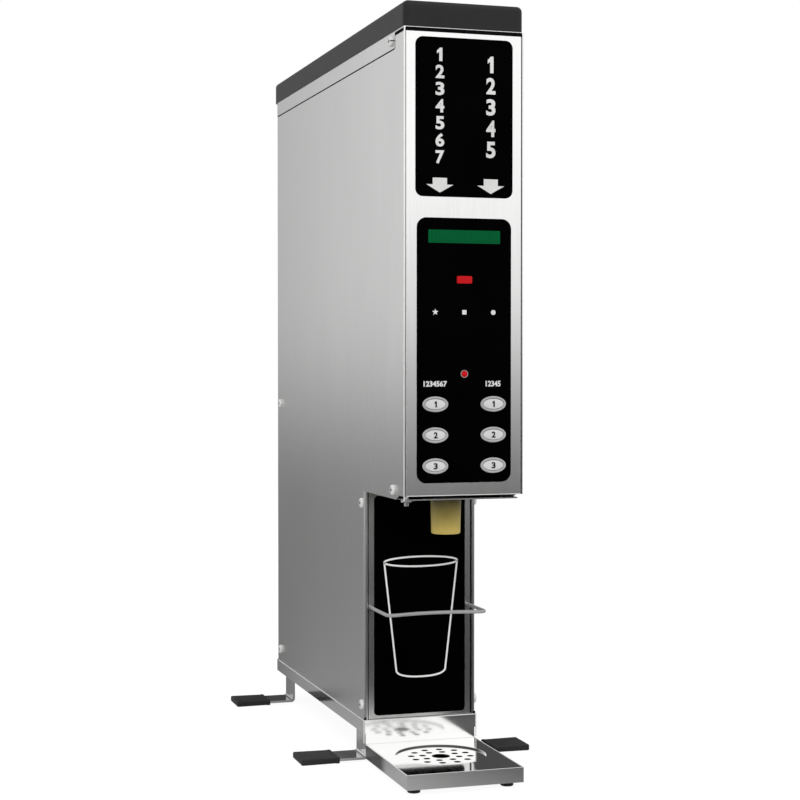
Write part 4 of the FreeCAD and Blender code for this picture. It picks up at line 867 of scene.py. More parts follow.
# ---------------------------------------------------------------- sub-assemblies
@dataclass
class Print:
    """White or black print on a flat label whose face looks to the front."""

    face: float
    lift: float = 0.00012
    weight: float = 0.035

    def ring(self, name: str, outline: Array) -> Object:
        """Make a flat mark from its outline: the outline at the face and again just before it.

        Args:
            name: name of the piece.
            outline: corners x and z, n x 2.

        Returns:
            The new object.
        """
        depth = np.array([self.face, self.face - self.lift])
        return skin(name, facing(np.stack([outline, outline]), depth, (0.0, 0.0)), End.FLAT, End.FLAT)

    def line(self, name: str, path: Array, width: float, ringed: bool) -> Object:
        """Make a line of even width.

        Args:
            name: name of the piece.
            path: points x and z, n x 2.
            width: width of the line.
            ringed: whether the path closes on itself.

        Returns:
            The new object.
        """
        rings = ribbon(path, width, ringed)
        points = np.stack([rings[..., 0], self.face - self.lift * rings[..., 2], rings[..., 1]], axis=-1)
        return skin(name, points, End.FLAT, End.FLAT, ringed)

    def letters(self, name: str, marks: Sequence[Mark]) -> Object:
        """Make numerals that each fill a box.

        Args:
            name: name of the piece.
            marks: text, middle x, middle z, width and height of each.

        Returns:
            One object with all the numerals, each a thin closed solid.
        """
        points, faces, start = [], [], 0
        for text, x, z, width, height in marks:
            unit, flat = glyph(text, self.weight)
            flat_points = (unit - 0.5) * (width, height) + (x, z)
            depth = np.full(len(unit), self.face - self.lift)
            points.append(np.stack([flat_points[:, 0], depth, flat_points[:, 1]], axis=-1))
            faces += [[start + k for k in face] for face in flat]
            start += len(unit)
        sheet = mesh_object(name, np.vstack(points), faces)
        self.thicken(sheet)
        return sheet

    def thicken(self, sheet: Object) -> None:
        """Give a flat print its thickness, from its front back to the face of the film.

        Args:
            sheet: the print, with one layer of faces.
        """
        work = bmesh.new()
        work.from_mesh(sheet.data)
        grown = bmesh.ops.extrude_face_region(work, geom=list(work.faces))
        moved = [item for item in grown["geom"] if isinstance(item, bmesh.types.BMVert)]
        bmesh.ops.translate(work, verts=moved, vec=(0.0, self.lift, 0.0))
        bmesh.ops.recalc_face_normals(work, faces=work.faces)
        work.to_mesh(sheet.data)
        work.free()
        sheet.data.shade_flat()


@dataclass
class UpperLabel:
    """The two columns of numerals and the arrows under them."""

    left_x: float = -0.0234
    left_top: float = 0.6719
    left_size: Pair = (0.0083, 0.0120)
    left_pitch: float = 0.0153
    left_count: int = 7
    right_x: float = 0.0252
    right_top: float = 0.6663
    right_size: Pair = (0.0089, 0.0149)
    right_pitch: float = 0.0192
    right_count: int = 5
    arrow_stem: float = 0.0068
    arrow_head: float = 0.0129
    arrow_top: float = 0.5555
    arrow_shoulder: float = 0.5495
    arrow_tip: float = 0.5422

    def column(self, x: float, top: float, size: Pair, pitch: float, count: int) -> list[Mark]:
        """List the numerals of one column from the top down, from 1 to its count."""
        middle = top - size[1] / 2
        return [(str(k + 1), x, middle - k * pitch, *size) for k in range(count)]

    def arrow(self, x: float) -> Array:
        """Give the outline of an arrow that points down.

        Formula: the corners of the stem, the shoulders of the head and its tip, in order round it.

        Args:
            x: middle of the arrow.

        Returns:
            Corners x and z, n x 2.
        """
        half = np.array([self.arrow_stem, self.arrow_stem, self.arrow_head, 0.0,
                         -self.arrow_head, -self.arrow_stem, -self.arrow_stem])
        z = np.array([self.arrow_top, self.arrow_shoulder, self.arrow_shoulder, self.arrow_tip,
                      self.arrow_shoulder, self.arrow_shoulder, self.arrow_top])
        return np.stack([half + x, z], axis=-1)

    def build(self, clothes: Wardrobe) -> None:
        """Build the numerals and arrows and put them on the cabinet.

        Args:
            clothes: where the finishes are kept.
        """
        ink = Print(FACE - FILM)
        left = self.column(self.left_x, self.left_top, self.left_size, self.left_pitch, self.left_count)
        right = self.column(self.right_x, self.right_top, self.right_size, self.right_pitch,
                            self.right_count)
        for name, marks in (("numerals_left", left), ("numerals_right", right)):
            place_piece(ink.letters(name, marks), "chassis", "label_film", "print_white", clothes)
        for name, x in (("arrow_left", self.left_x), ("arrow_right", self.right_x)):
            place_piece(ink.ring(name, self.arrow(x)), "chassis", "label_film", "print_white", clothes)


@dataclass
class KeyPad:
    """Dose keys, their rims and numerals, the small marks, the cancel key and the status light.

    A key has a stem, a flange behind the sheet and a face that swells by its dome. The star's tips
    and waist and the square's half width are shares of half the marks' size, and each heading has
    its text, its side and its width.
    """

    column: float = 0.0277
    rows: tuple[float, ...] = (0.3519, 0.3240, 0.2961)
    outer: Pair = (0.0122, 0.0071)
    rim: float = 0.0021
    rim_depth: float = 0.0015
    rim_fullness: float = 0.6
    gap: float = 0.0003
    stand: float = 0.0012
    edge: float = 0.00054
    dome: float = 0.0004
    sheet: float = 0.0012
    flange: float = 0.0015
    stem: float = 0.0025
    stem_end: float = FACE + 0.0075
    numeral: Pair = (0.0038, 0.0056)
    numeral_rise: float = 0.00036
    cancel_z: float = 0.4642
    cancel_half: Pair = (0.0072, 0.0034)
    cancel_corner: float = 0.0014
    cancel_edge: float = 0.00048
    cancel_dome: float = 0.0002
    light_z: float = 0.3792
    light_radius: float = 0.0030
    light_rim: float = 0.0005
    mark_z: float = 0.4349
    mark_size: float = 0.0045
    star_tip: float = 1.38
    star_waist: float = 0.56
    square_half: float = 0.9
    heading_z: float = 0.3703
    heading_height: float = 0.0052
    headings: tuple[tuple[str, int, float], ...] = (("1234567", -1, 0.0222), ("12345", 1, 0.0144))

    def profile(self, half: Sequence[float], corner: float, edge: float, dome: float, share: Array
                ) -> tuple[Array, Array]:
        """Give the rings of a key from the end of its stem to its face.

        Formula: each row has its half width, half height and corner at its own depth. The wall ends
        in a quarter round, and the face swells by the dome times one minus the square of the share
        of the width that is left.

        Args:
            half: half width and half height of the wall.
            corner: corner radius of the wall.
            edge: radius of the rounding round the face.
            dome: swell of the face.
            share: parts of the face's width, from its border to its middle.

        Returns:
            The rows, n x 3, and their depths.
        """
        front = FACE - FILM - self.stand
        flange_front = FACE + self.sheet + self.gap
        flange_rear = flange_front + self.sheet
        size = np.array([*half, corner])
        stem = np.full(3, self.stem)
        flange = size + (self.flange, self.flange, 0.0)
        wall = round_over(0.0, flange_front, front, edge)
        wide = size + wall[:, :1]
        rows = np.vstack([stem, stem, flange, flange, wide, np.outer(share, wide[-1])])
        depth = np.concatenate([[self.stem_end, flange_rear, flange_rear, flange_front],
                                wall[:, 1], front - dome * (1 - share ** 2)])
        return rows, depth

    def cap(self, name: str, place: Pair) -> Object:
        """Make an oval key.

        Args:
            name: name of the piece.
            place: x and z of its middle.

        Returns:
            The new object.
        """
        half = np.array(self.outer) - self.rim - self.gap
        rows, depth = self.profile(half, 0.0, self.edge, self.dome, np.linspace(1, 0.04, 7)[1:])
        return skin(name, facing(oval_rings(rows), depth, place))

    def cancel(self) -> Object:
        """Make the cancel key, whose outline is a rectangle with round corners.

        Returns:
            The new object.
        """
        rows, depth = self.profile(self.cancel_half, self.cancel_corner, self.cancel_edge,
                                   self.cancel_dome, np.linspace(1, 0.05, 5)[1:])
        return skin("cancel_cap", facing(block_rings(rows), depth, (0.0, self.cancel_z)))

    def hoop(self, name: str, place: Pair, inner: Pair, width: float, depth: float) -> Object:
        """Make a raised rim round an opening.

        Formula: over half a turn the offset from the opening is half the width times one minus the
        cosine, and the rise is the depth times a power of the sine, which makes it full.

        Args:
            name: name of the piece.
            place: x and z of its middle.
            inner: half width and half height of the opening.
            width: width of the rim.
            depth: how far it stands out.

        Returns:
            The new object.
        """
        turn = np.linspace(0, math.pi, 9)
        offset = width / 2 * (1 - np.cos(turn))
        rise = np.concatenate([[0.0], depth * np.sin(turn[1:-1]) ** self.rim_fullness, [0.0]])
        rings = facing(oval_rings(np.array(inner) + offset[:, None], 64), FACE - FILM - rise, place)
        return skin(name, rings, ringed=True)

    def light(self) -> Object:
        """Make the status light.

        Formula: a round rod that ends in a quarter of a circle turned about its axis.

        Returns:
            The new object.
        """
        turn = np.linspace(0, math.pi / 2, 9)
        radius = self.light_radius * np.concatenate([[1.0], np.cos(turn[:-1]), [0.05]])
        depth = np.concatenate([[self.stem_end], FACE - FILM - self.stand * np.sin(turn)])
        rings = oval_rings(np.column_stack([radius, radius]), 32)
        return skin("status_dome", facing(rings, depth, (0.0, self.light_z)))

    def marks(self) -> dict[str, Array]:
        """Give the outlines of the star, square and dot.

        Formula: the star's radius swings between its tips and its waist with the angle, the square
        has four corners, and the dot is a circle.

        Returns:
            The corners x and z of each mark, by its name.
        """
        half = self.mark_size / 2
        corner = np.arange(10)
        turn = math.pi / 2 + corner * TURN / 10
        reach = half * np.where(corner % 2 == 0, self.star_tip, self.star_waist)
        star = np.stack([reach * np.cos(turn), reach * np.sin(turn)], axis=-1)
        square = np.array([[1, 1], [-1, 1], [-1, -1], [1, -1]]) * half * self.square_half
        dot = oval_rings(np.array([[half, half]]), 32)[0]
        return {"star_mark": star + (-self.column, self.mark_z),
                "square_mark": square + (0.0, self.mark_z),
                "dot_mark": dot + (self.column, self.mark_z)}

    def dose_key(self, number: int, row: int, place: Pair, clothes: Wardrobe) -> None:
        """Build one dose key with its numeral, and the rim round it.

        Args:
            number: number of the key's body, from 1.
            row: row of the key from the top, which is the numeral it shows.
            place: x and z of its middle.
            clothes: where the finishes are kept.
        """
        body = f"dose_key_{number}"
        place_piece(self.cap(f"dose_cap_{number}", place), body, "key_plastic", "key_plastic", clothes, body)
        ink = Print(FACE - FILM - self.stand - self.numeral_rise)
        digit = ink.letters(f"dose_numeral_{number}", [(str(row), *place, *self.numeral)])
        place_piece(digit, body, "key_plastic", "print_black", clothes)
        opening = (self.outer[0] - self.rim, self.outer[1] - self.rim)
        rim = self.hoop(f"dose_rim_{number}", place, opening, self.rim, self.rim_depth)
        place_piece(rim, "chassis", "rim_plastic", "rim_plastic", clothes)

    def build(self, clothes: Wardrobe) -> None:
        """Build every key, rim, numeral and mark and put each on its body.

        Args:
            clothes: where the finishes are kept.
        """
        for side, x in enumerate((-self.column, self.column)):
            for row, z in enumerate(self.rows, start=1):
                self.dose_key(side * len(self.rows) + row, row, (x, z), clothes)
        ring = self.hoop("light_rim", (0.0, self.light_z), (self.light_radius,) * 2, self.light_rim,
                         self.rim_depth / 2)
        place_piece(ring, "chassis", "rim_plastic", "rim_plastic", clothes, "key_rims")
        place_piece(self.cancel(), "cancel_key", "red_plastic", "red_plastic", clothes, "cancel_key")
        place_piece(self.light(), "chassis", "red_plastic", "red_plastic", clothes, "status_light")
        ink = Print(FACE - FILM)
        for name, outline in self.marks().items():
            place_piece(ink.ring(name, outline), "chassis", "label_film", "print_white", clothes)
        headings = [(text, side * self.column, self.heading_z, width, self.heading_height)
                    for text, side, width in self.headings]
        place_piece(ink.letters("headings", headings), "chassis", "label_film", "print_white", clothes)


@dataclass
class SplashPrint:
    """Outline of a cup on the label behind the cup."""

    face: float = SPLASH
    middle: float = 0.0008
    rim_half: float = 0.0374
    rim_z: float = 0.1950
    rim_rise: float = 0.0048
    base_half: float = 0.0252
    base_top: float = 0.0897
    base_z: float = 0.0820
    base_power: float = 2.4
    line: float = 0.0017

    def build(self, clothes: Wardrobe) -> None:
        """Build the rim and the side line of the cup.

        Formula: the rim is an oval. The side line runs straight down from one end of the rim, round
        the base as half an oval of powers of the cosine and sine, and up again.

        Args:
            clothes: where the finishes are kept.
        """
        ink = Print(self.face - FILM)
        turn = np.linspace(0, TURN, 72, endpoint=False)
        rim = np.stack([self.rim_half * np.cos(turn), self.rim_z + self.rim_rise * np.sin(turn)], axis=-1)
        half_turn = np.linspace(math.pi, TURN, 41)
        cos, sin = np.cos(half_turn), np.sin(half_turn)
        power = 2 / self.base_power
        base = np.stack([self.base_half * np.sign(cos) * np.abs(cos) ** power,
                         self.base_top - (self.base_top - self.base_z) * np.abs(sin) ** power], axis=-1)
        side = np.vstack([[-self.rim_half, self.rim_z], base, [self.rim_half, self.rim_z]])
        for name, path, ringed in (("cup_rim_line", rim, True), ("cup_side_line", side, False)):
            line = ink.line(name, path + (self.middle, 0.0), self.line, ringed)
            place_piece(line, "chassis", "label_film", "print_bright", clothes)


@dataclass
class CupGuide:
    """Bent wire that keeps the cup under the nozzle."""

    radius: float = 0.0017
    height: float = 0.1510
    span: float = 0.0490
    tail_y: float = FACE + 0.1395
    middle_y: float = FACE + 0.0840
    hollow: float = 0.0100
    bend: float = 0.0060

    def path(self) -> Array:
        """Give the wire's points in plan.

        Formula: a straight run, a small bend, a wide arc that is hollow towards the cup, and the
        same again mirrored. The wide arc's radius follows from its half span and its depth, and the
        small bend ends where both arcs have the same direction.

        Returns:
            Points x and y, n x 2.
        """
        big = (self.span ** 2 + self.hollow ** 2) / (2 * self.hollow)
        centre = self.middle_y - big
        across = self.span - self.bend
        reach = math.sqrt((big + self.bend) ** 2 - across ** 2)
        corner = centre + reach
        lean = math.atan2(reach, across)
        small = np.linspace(math.pi, math.pi + lean, 12)
        bend = np.stack([-across + self.bend * np.cos(small), corner + self.bend * np.sin(small)], axis=-1)
        wide = np.linspace(math.pi - lean, lean, 41)[1:-1]
        arc = np.stack([big * np.cos(wide), centre + big * np.sin(wide)], axis=-1)
        other = bend[::-1] * (-1, 1)
        start = np.array([[-self.span, self.tail_y]])
        return np.vstack([start, bend, arc, other, start * (-1, 1)])

    def build(self, clothes: Wardrobe) -> None:
        """Build the wire along its path and put it on the cabinet.

        Args:
            clothes: where the finishes are kept.
        """
        flat = self.path()
        path = np.column_stack([flat, np.full(len(flat), self.height)])
        wire = tube("guide_wire", path, (0.0, 0.0, 1.0), self.radius)
        place_piece(wire, "chassis", "polished_steel", "wire_steel", clothes, "cup_guide")


@dataclass
class Seals:
    """Black blocks and cords in the joints of the cabinet, painted shade that stands in for the shadow in
    the gaps: under the lid frame, along its strip, in the column.

    Each block has its half sizes and its middle, at the right where there is one on each side.
    """

    front_half: Point = (0.0538, 0.0104, 0.00112)
    front_middle: Point = (0.0, FACE + 0.0136, 0.68745)
    cap_half: Point = (0.00055, 0.0130, 0.00150)
    cap_middle: Point = (0.0566, FACE + 0.0139, 0.68710)
    lip_half: Point = (0.0553, 0.0001, 0.00178)
    lip_middle: Point = (0.0, FACE - 0.00012, 0.68757)
    plug_half: Point = (0.0011, 0.0003, 0.0012)
    plug_middle: Point = (0.0560, FACE + 0.12975, 0.0437)
    cord: float = 0.00068
    strip_cord: float = 0.0008
    groove_x: float = 0.0564
    groove_y: float = FACE + 0.0274
    groove_z: float = 0.6741
    groove_top: float = 0.6885
    groove_bend: float = 0.0030
    groove_end: float = FACE + 0.4948
    column_x: float = 0.0529
    column_y: float = SPLASH
    column_z: Pair = (0.0430, 0.2634)

    def slab(self, name: str, half: Point, middle: Point) -> Object:
        """Make a flat block with round corners: the same ring at its lower and upper face.

        Args:
            name: name of the piece.
            half: half sizes along X, Y and Z.
            middle: its middle.

        Returns:
            The new object.
        """
        ring = np.array([[half[0], half[1], min(half[:2]) / 2]] * 2)
        height = middle[2] + half[2] * np.array([-1.0, 1.0])
        return skin(name, standing(block_rings(ring), height, middle[:2]), End.FLAT, End.FLAT)

    def groove(self, sign: int) -> Array:
        """Give the path of a cord: down behind the front of the strip, a quarter turn, and back.

        Args:
            sign: -1 for the left side and 1 for the right.

        Returns:
            Points, n x 3.
        """
        turn = np.linspace(math.pi, 1.5 * math.pi, 8)
        bend = np.stack([self.groove_y + self.groove_bend * (1 + np.cos(turn)),
                         self.groove_z + self.groove_bend * (1 + np.sin(turn))], axis=-1)
        flat = np.vstack([[self.groove_y, self.groove_top], bend, [self.groove_end, self.groove_z]])
        return np.column_stack([np.full(len(flat), sign * self.groove_x), flat])

    def build(self, clothes: Wardrobe) -> None:
        """Build the front blocks of painted shade, and for each side its cap, its plug and its two cords.

        Args:
            clothes: where the finishes are kept.
        """
        pieces = [self.slab("front_gap_shade", self.front_half, self.front_middle),
                  self.slab("front_gap_shade_lip", self.lip_half, self.lip_middle)]
        for side, sign in (("left", -1), ("right", 1)):
            x, y, z = self.cap_middle
            pieces.append(self.slab(f"gap_shade_cap_{side}", self.cap_half, (sign * x, y, z)))
            x, y, z = self.plug_middle
            pieces.append(self.slab(f"column_gap_shade_{side}", self.plug_half, (sign * x, y, z)))
            pieces.append(tube(f"strip_cord_{side}", self.groove(sign), (1.0, 0.0, 0.0), self.strip_cord, 8))
            column = np.array([[sign * self.column_x, self.column_y, height] for height in self.column_z])
            pieces.append(tube(f"column_shade_cord_{side}", column, (0.0, 1.0, 0.0), self.cord, 8))
        # Painted shade: each block and cord is near black, standing in for the shadow in a gap.
        for piece in pieces:
            place_piece(piece, "chassis", "foot_rubber", "gap_shade_black", clothes)


@dataclass
class Folds:
    """Rounded edges of the folded sheet: side panel, cover, base and tray, with a painted highlight: thin
    rods in a bright matte finish that stands in for the steel's highlight.

    The cover, the rail of the base and the tray each have the right end of their front edge.
    """

    radius: float = 0.0005
    cover: Point = (0.0546, FACE + 0.0004, 0.2695)
    rail: Point = (0.0575, FACE + 0.1291, 0.0419)
    rail_low: float = 0.0200
    rail_rear: float = FACE + 0.4930
    tray: Point = (0.0557, FACE - 0.0057, 0.0188)
    tray_rear: float = FACE + 0.1275
    panel: Pair = (-0.0567, FACE + 0.0006)
    panel_z: Pair = (0.2652, 0.6856)

    def lines(self) -> list[tuple[str, str, tuple[float, ...], tuple[float, ...]]]:
        """List the edges.

        Returns:
            The name, the body, the start and the end of each.
        """
        found = [("panel_fold", "chassis", (*self.panel, self.panel_z[0]), (*self.panel, self.panel_z[1]))]
        for name, body, (x, y, z) in (("cover_fold", "chassis", self.cover),
                                      ("rail_fold", "chassis", self.rail),
                                      ("tray_fold", "tray_cover", self.tray)):
            found.append((name, body, (-x, y, z), (x, y, z)))
        for side, sign in (("left", -1), ("right", 1)):
            x, y, z = self.rail
            x *= sign
            found.append((f"rail_side_{side}", "chassis", (x, y, z), (x, self.rail_rear, z)))
            found.append((f"apron_side_{side}", "chassis", (x, y, self.rail_low), (x, y, z)))
            x, y, z = self.tray
            x *= sign
            found.append((f"tray_side_{side}", "tray_cover", (x, y, z), (x, self.tray_rear, z)))
        return found

    def build(self, clothes: Wardrobe) -> None:
        """Build every edge as a thin rod, in the bright finish of the painted highlight.

        Args:
            clothes: where the finishes are kept.
        """
        for name, body, start, end in self.lines():
            normal = (0.0, 1.0, 0.0) if start[1] == end[1] else (0.0, 0.0, 1.0)
            rod = tube(name, np.array([start, end]), normal, self.radius, 12)
            # Painted highlight: the rod wears a bright matte finish in place of the steel.
            place_piece(rod, body, "sheet_steel", "edge_highlight", clothes)


@dataclass
class Thumbscrew:
    """Knurled thumbscrew that holds the lip of the front cover, with its short end below."""

    place: Pair = (-0.0487, FACE + 0.0190)
    top: float = FLOOR - 0.0003
    height: float = 0.0022
    radius: float = 0.0050
    shank: float = 0.0024
    shank_top: float = 0.2715
    stub: float = 0.0022
    stub_length: float = 0.0034
    bevel: float = 0.00035
    knurls: int = 30
    knurl: float = 0.00022

    def build(self, clothes: Wardrobe) -> None:
        """Build the screw.

        Formula: a profile of radius and height turned about its axis. On the rim the radius swings
        by the cosine of the angle times the number of knurls.

        Args:
            clothes: where the finishes are kept.
        """
        low = self.top - self.height
        end = low - self.stub_length
        rim = self.radius - self.knurl
        bevel = self.bevel
        profile = np.array([
            [self.stub - bevel, end, 0], [self.stub, end + bevel, 0], [self.stub, low, 0],
            [rim - bevel, low, 0], [rim, low + bevel, 1], [rim, self.top - bevel, 1],
            [rim - bevel, self.top, 0], [self.shank, self.top, 0], [self.shank, self.shank_top, 0]])
        turn = np.linspace(0, TURN, self.knurls * 6, endpoint=False)
        radius = profile[:, :1] + profile[:, 2:] * self.knurl * np.cos(turn * self.knurls)
        rings = np.stack([radius * np.cos(turn), radius * np.sin(turn)], axis=-1)
        screw = skin("thumb_turned", standing(rings, profile[:, 1], self.place))
        place_piece(screw, "thumbscrew", "thumb_steel", "thumb_steel", clothes, "thumbscrew")


@dataclass
class Spout:
    """Tapered nozzle with a rounded tip and a collar that rests on the floor of the head."""

    y: float = FACE + 0.0520
    deck_top: float = FLOOR + 0.0012
    tip: float = 0.0136
    top: float = 0.0146
    wall: float = 0.0020
    collar: float = 0.0040
    collar_height: float = 0.0020
    lip: float = 0.0014
    inner_lip: float = 0.0004

    def build(self, clothes: Wardrobe) -> None:
        """Build the nozzle.

        Formula: a closed profile of radius and height turned about its axis, with a quarter round
        from the tip's face to its wall.

        Args:
            clothes: where the finishes are kept.
        """
        crest = self.deck_top + self.collar_height
        turn = np.linspace(-math.pi / 2, 0, 5)
        outer = np.stack([self.tip - self.lip + self.lip * np.cos(turn),
                          NOZZLE_TIP + self.lip + self.lip * np.sin(turn)], axis=-1)
        bore = self.tip - self.wall
        rest = np.array([[self.top, FLOOR], [self.top, self.deck_top],
                         [self.top + self.collar, self.deck_top], [self.top + self.collar, crest],
                         [self.top - self.wall, crest], [self.top - self.wall, FLOOR],
                         [bore, NOZZLE_TIP + self.inner_lip], [bore + self.inner_lip, NOZZLE_TIP]])
        profile = np.vstack([outer, rest])
        rings = oval_rings(np.column_stack([profile[:, 0], profile[:, 0]]), 64)
        nozzle = skin("nozzle_tube", standing(rings, profile[:, 1], (0.0, self.y)), ringed=True)
        place_piece(nozzle, "chassis", "amber_plastic", "amber_plastic", clothes, "nozzle")


@dataclass
class Boots:
    """Rubber boots on the ends of the four legs.

    The bead round the mouth has distances from the mouth, each with an inset in parts of the edge.
    """

    near: float = 0.0795
    far: float = 0.1175
    half_width: float = 0.0190
    height: float = 0.0060
    edge: float = 0.0011
    bead: tuple[Pair, ...] = (
        (0.0, 0.35), (0.0006, 0.0), (0.0030, 0.0), (0.0036, 0.12), (0.0042, 0.2), (0.0060, 0.2))
    front_y: float = FACE + 0.156
    rear_y: float = FACE + 0.458

    def boot(self, name: str, sign: int, y: float) -> Object:
        """Make one boot.

        Formula: a flat ring with round corners, carried along X. Its half sizes shrink over a
        quarter round at the closed end, and swell by a small bead at the mouth.

        Args:
            name: name of the piece.
            sign: -1 for the left side and 1 for the right.
            y: middle of the leg.

        Returns:
            The new object.
        """
        turn = np.linspace(0, math.pi / 2, 6)
        bead_x, bead = np.array(self.bead).T
        inset = np.concatenate([bead * self.edge, self.edge * (1 - np.cos(turn))])
        along = np.concatenate([self.near + bead_x, self.far - self.edge + self.edge * np.sin(turn)])
        half = np.column_stack([self.half_width - inset, self.height / 2 - inset,
                                np.full(len(inset), self.edge)])
        rings = block_rings(half, 6)
        x = np.broadcast_to((sign * along)[:, None], rings.shape[:2])
        points = np.stack([x, rings[..., 0] + y, rings[..., 1] + self.height / 2], axis=-1)
        return skin(name, points, End.FLAT, End.FLAT)

    def build(self, clothes: Wardrobe) -> None:
        """Build the four boots; the first one stands for the node.

        Args:
            clothes: where the finishes are kept.
        """
        replaced: tuple[str, ...] = ("boots",)
        for side, sign in (("left", -1), ("right", 1)):
            for end, y in (("front", self.front_y), ("rear", self.rear_y)):
                piece = self.boot(f"boot_{end}_{side}", sign, y)
                place_piece(piece, "chassis", "foot_rubber", "foot_rubber", clothes, *replaced)
                replaced = ()


# ---------------------------------------------------------------- studio
@dataclass(frozen=True)
class Lamp:
    """A soft square lamp that is aimed at a point and isn't seen in polished steel."""

    name: str
    place: Point
    target: Point
    size: float
    power: float

    def hang(self) -> None:
        """Put the lamp in the scene."""
        light = bpy.data.lights.new(self.name, "AREA")
        light.energy = self.power
        light.size = self.size
        holder = bpy.data.objects.new(self.name, light)
        holder.location = self.place
        way = Vector(self.target) - Vector(self.place)
        holder.rotation_euler = way.to_track_quat("-Z", "Y").to_euler()
        holder.visible_glossy = False
        bpy.context.scene.collection.objects.link(holder)


@dataclass(frozen=True)
class Card:
    """A round bright card on the floor that only glossy rays see, and that fades towards its edge."""

    x: float
    y: float
    inner: float
    outer: float
    level: float


@dataclass
class Studio:
    """Pale floor, soft lamps, the shell that the steel reflects, and the camera.

    The sky and the ground list the brightness of the shell by the angle round the machine, where 0
    degrees is its front and 90 its right side, and the lean lists how far the height between them
    is lowered. The rise gives the heights at which the ground ends and the sky starts. The shell's
    turns are how far, in radians, its rim, the start of its coarse crown and its top are raised.
    """

    floor_half: float = 30.0
    floor_white: float = 1.08
    floor_share: float = 0.86
    floor_grey: Pair = (0.82, 0.86)
    shell_radius: float = 4.2
    shell_z: float = 0.39
    shell_low: float = 0.0006
    shell_turns: tuple[float, ...] = (-0.0927, 1.2, math.pi / 2)
    ambient: float = 0.62
    camera_place: Point = (-0.52287, -1.7525, 0.39135)
    camera_turn: Point = (88.71, 0.0, -17.11)
    lens: float = 79.0
    sky: tuple[Pair, ...] = (
        (-180, 0.12), (-170, 0.30), (-162, 0.93), (-150, 1.15), (-90, 1.2), (-40, 1.45), (0, 1.72),
        (45, 1.72), (80, 1.2), (110, 0.9), (145, 0.5), (154, 0.1), (168, 0.06), (180, 0.25))
    ground: tuple[Pair, ...] = (
        (-180, 0.10), (-150, 0.12), (-90, 0.26), (-20, 0.03), (40, 0.02), (90, 0.26), (147, 0.22),
        (155, 0.1), (180, 0.10))
    lean: tuple[Pair, ...] = (
        (-180, 0.26), (-90, 0.2), (-30, 0.04), (0, 0.0), (40, 0.0), (90, 0.1), (180, 0.26))
    rise: Pair = (-0.42, 0.46)
    brightest: float = 2.0
    cards: tuple[Card, ...] = (
        Card(-0.07, -0.30, 0.03, 0.16, 0.42), Card(-0.10, -0.15, 0.04, 0.12, 0.3),
        Card(0.12, -0.26, 0.03, 0.12, 0.11))
    lamps: tuple[Lamp, ...] = (
        Lamp("key_lamp", (-1.4, -2.2, 2.2), (0.0, -0.1, 0.3), 1.4, 34.0),
        Lamp("fill_lamp", (1.9, -1.6, 1.2), (0.0, -0.1, 0.35), 1.6, 12.0),
        Lamp("back_lamp", (-0.4, 2.2, 2.0), (0.0, 0.1, 0.4), 1.6, 16.0))

    def mask(self, tree: bpy.types.NodeTree) -> Socket:
        """Find the rays from the camera, from glossy surfaces and through clear ones.

        Args:
            tree: the node tree that asks.

        Returns:
            The socket with 1 for those rays and 0 for all others.
        """
        path = tree.nodes.new("ShaderNodeLightPath")
        total = path.outputs["Is Camera Ray"]
        for name in ("Is Glossy Ray", "Is Transmission Ray"):
            either = tree.nodes.new("ShaderNodeMath")
            either.operation = "MAXIMUM"
            tree.links.new(total, either.inputs[0])
            tree.links.new(path.outputs[name], either.inputs[1])
            total = either.outputs[0]
        return total

    def world(self) -> None:
        """Make a world that is white as a background and plain as a light."""
        world = bpy.data.worlds.new("studio_air")
        world.use_nodes = True
        tree = world.node_tree
        background = tree.nodes["Background"]
        background.inputs["Color"].default_value = (1.0, 1.0, 1.0, 1.0)
        level = tree.nodes.new("ShaderNodeMapRange")
        level.inputs["To Min"].default_value = self.ambient
        level.inputs["To Max"].default_value = 1.0
        tree.links.new(self.mask(tree), level.inputs["Value"])
        tree.links.new(level.outputs[0], background.inputs["Strength"])
        bpy.context.scene.world = world

    def floor(self) -> None:
        """Make the floor: white as a background, with enough of the plain floor left for a shadow."""
        corners = np.array([[-1, -1, 0], [1, -1, 0], [1, 1, 0], [-1, 1, 0]]) * self.floor_half
        ground = mesh_object("studio_floor", corners, [[0, 1, 2, 3]])
        graph = Graph("studio_floor")
        white = graph.add("Emission", {"Strength": self.floor_white}).outputs[0]
        clouds = graph.between(graph.noise((3.0, 3.0, 3.0), 2.0), *self.floor_grey)
        plain = graph.add("BsdfDiffuse", {"Color": clouds}).outputs[0]
        share = graph.math("MULTIPLY", self.mask(graph.tree), self.floor_share)
        both = graph.add("MixShader", {0: share, 1: plain, 2: white}).outputs[0]
        ground.data.materials.append(graph.finish(both))

    def round_ramp(self, graph: Graph, angle: Socket, stops: Sequence[Pair]) -> Socket:
        """Give the level for an angle round the machine, in parts of the brightest.

        Args:
            graph: the node tree of the shell.
            angle: the angle, from minus to plus half a turn.
            stops: degrees in rising order, each with its level.

        Returns:
            The socket with the level as a grey.
        """
        share = graph.between(angle, 0.0, 1.0, -math.pi, math.pi)
        return graph.ramp(share, *[((degrees + 180) / 360, (level / self.brightest,) * 3)
                                   for degrees, level in stops])

    def dome(self) -> Object:
        """Make the surface of the shell.

        Formula: a sphere about the middle of the machine, flattened to a disc just over the floor.

        Returns:
            The new object, which only glossy rays see.
        """
        low, shoulder, top = self.shell_turns
        turn = np.concatenate([np.linspace(low, shoulder, 40), np.linspace(shoulder, top, 12)[1:]])
        reach = self.shell_radius * np.cos(turn)
        height = np.maximum(self.shell_z + self.shell_radius * np.sin(turn), self.shell_low)
        rings = oval_rings(np.column_stack([reach, reach]), 96)
        dome = skin("studio_shell", standing(rings, height, (0.0, 0.0)))
        for ray in ("camera", "diffuse", "transmission", "volume_scatter", "shadow"):
            setattr(dome, f"visible_{ray}", False)
        return dome

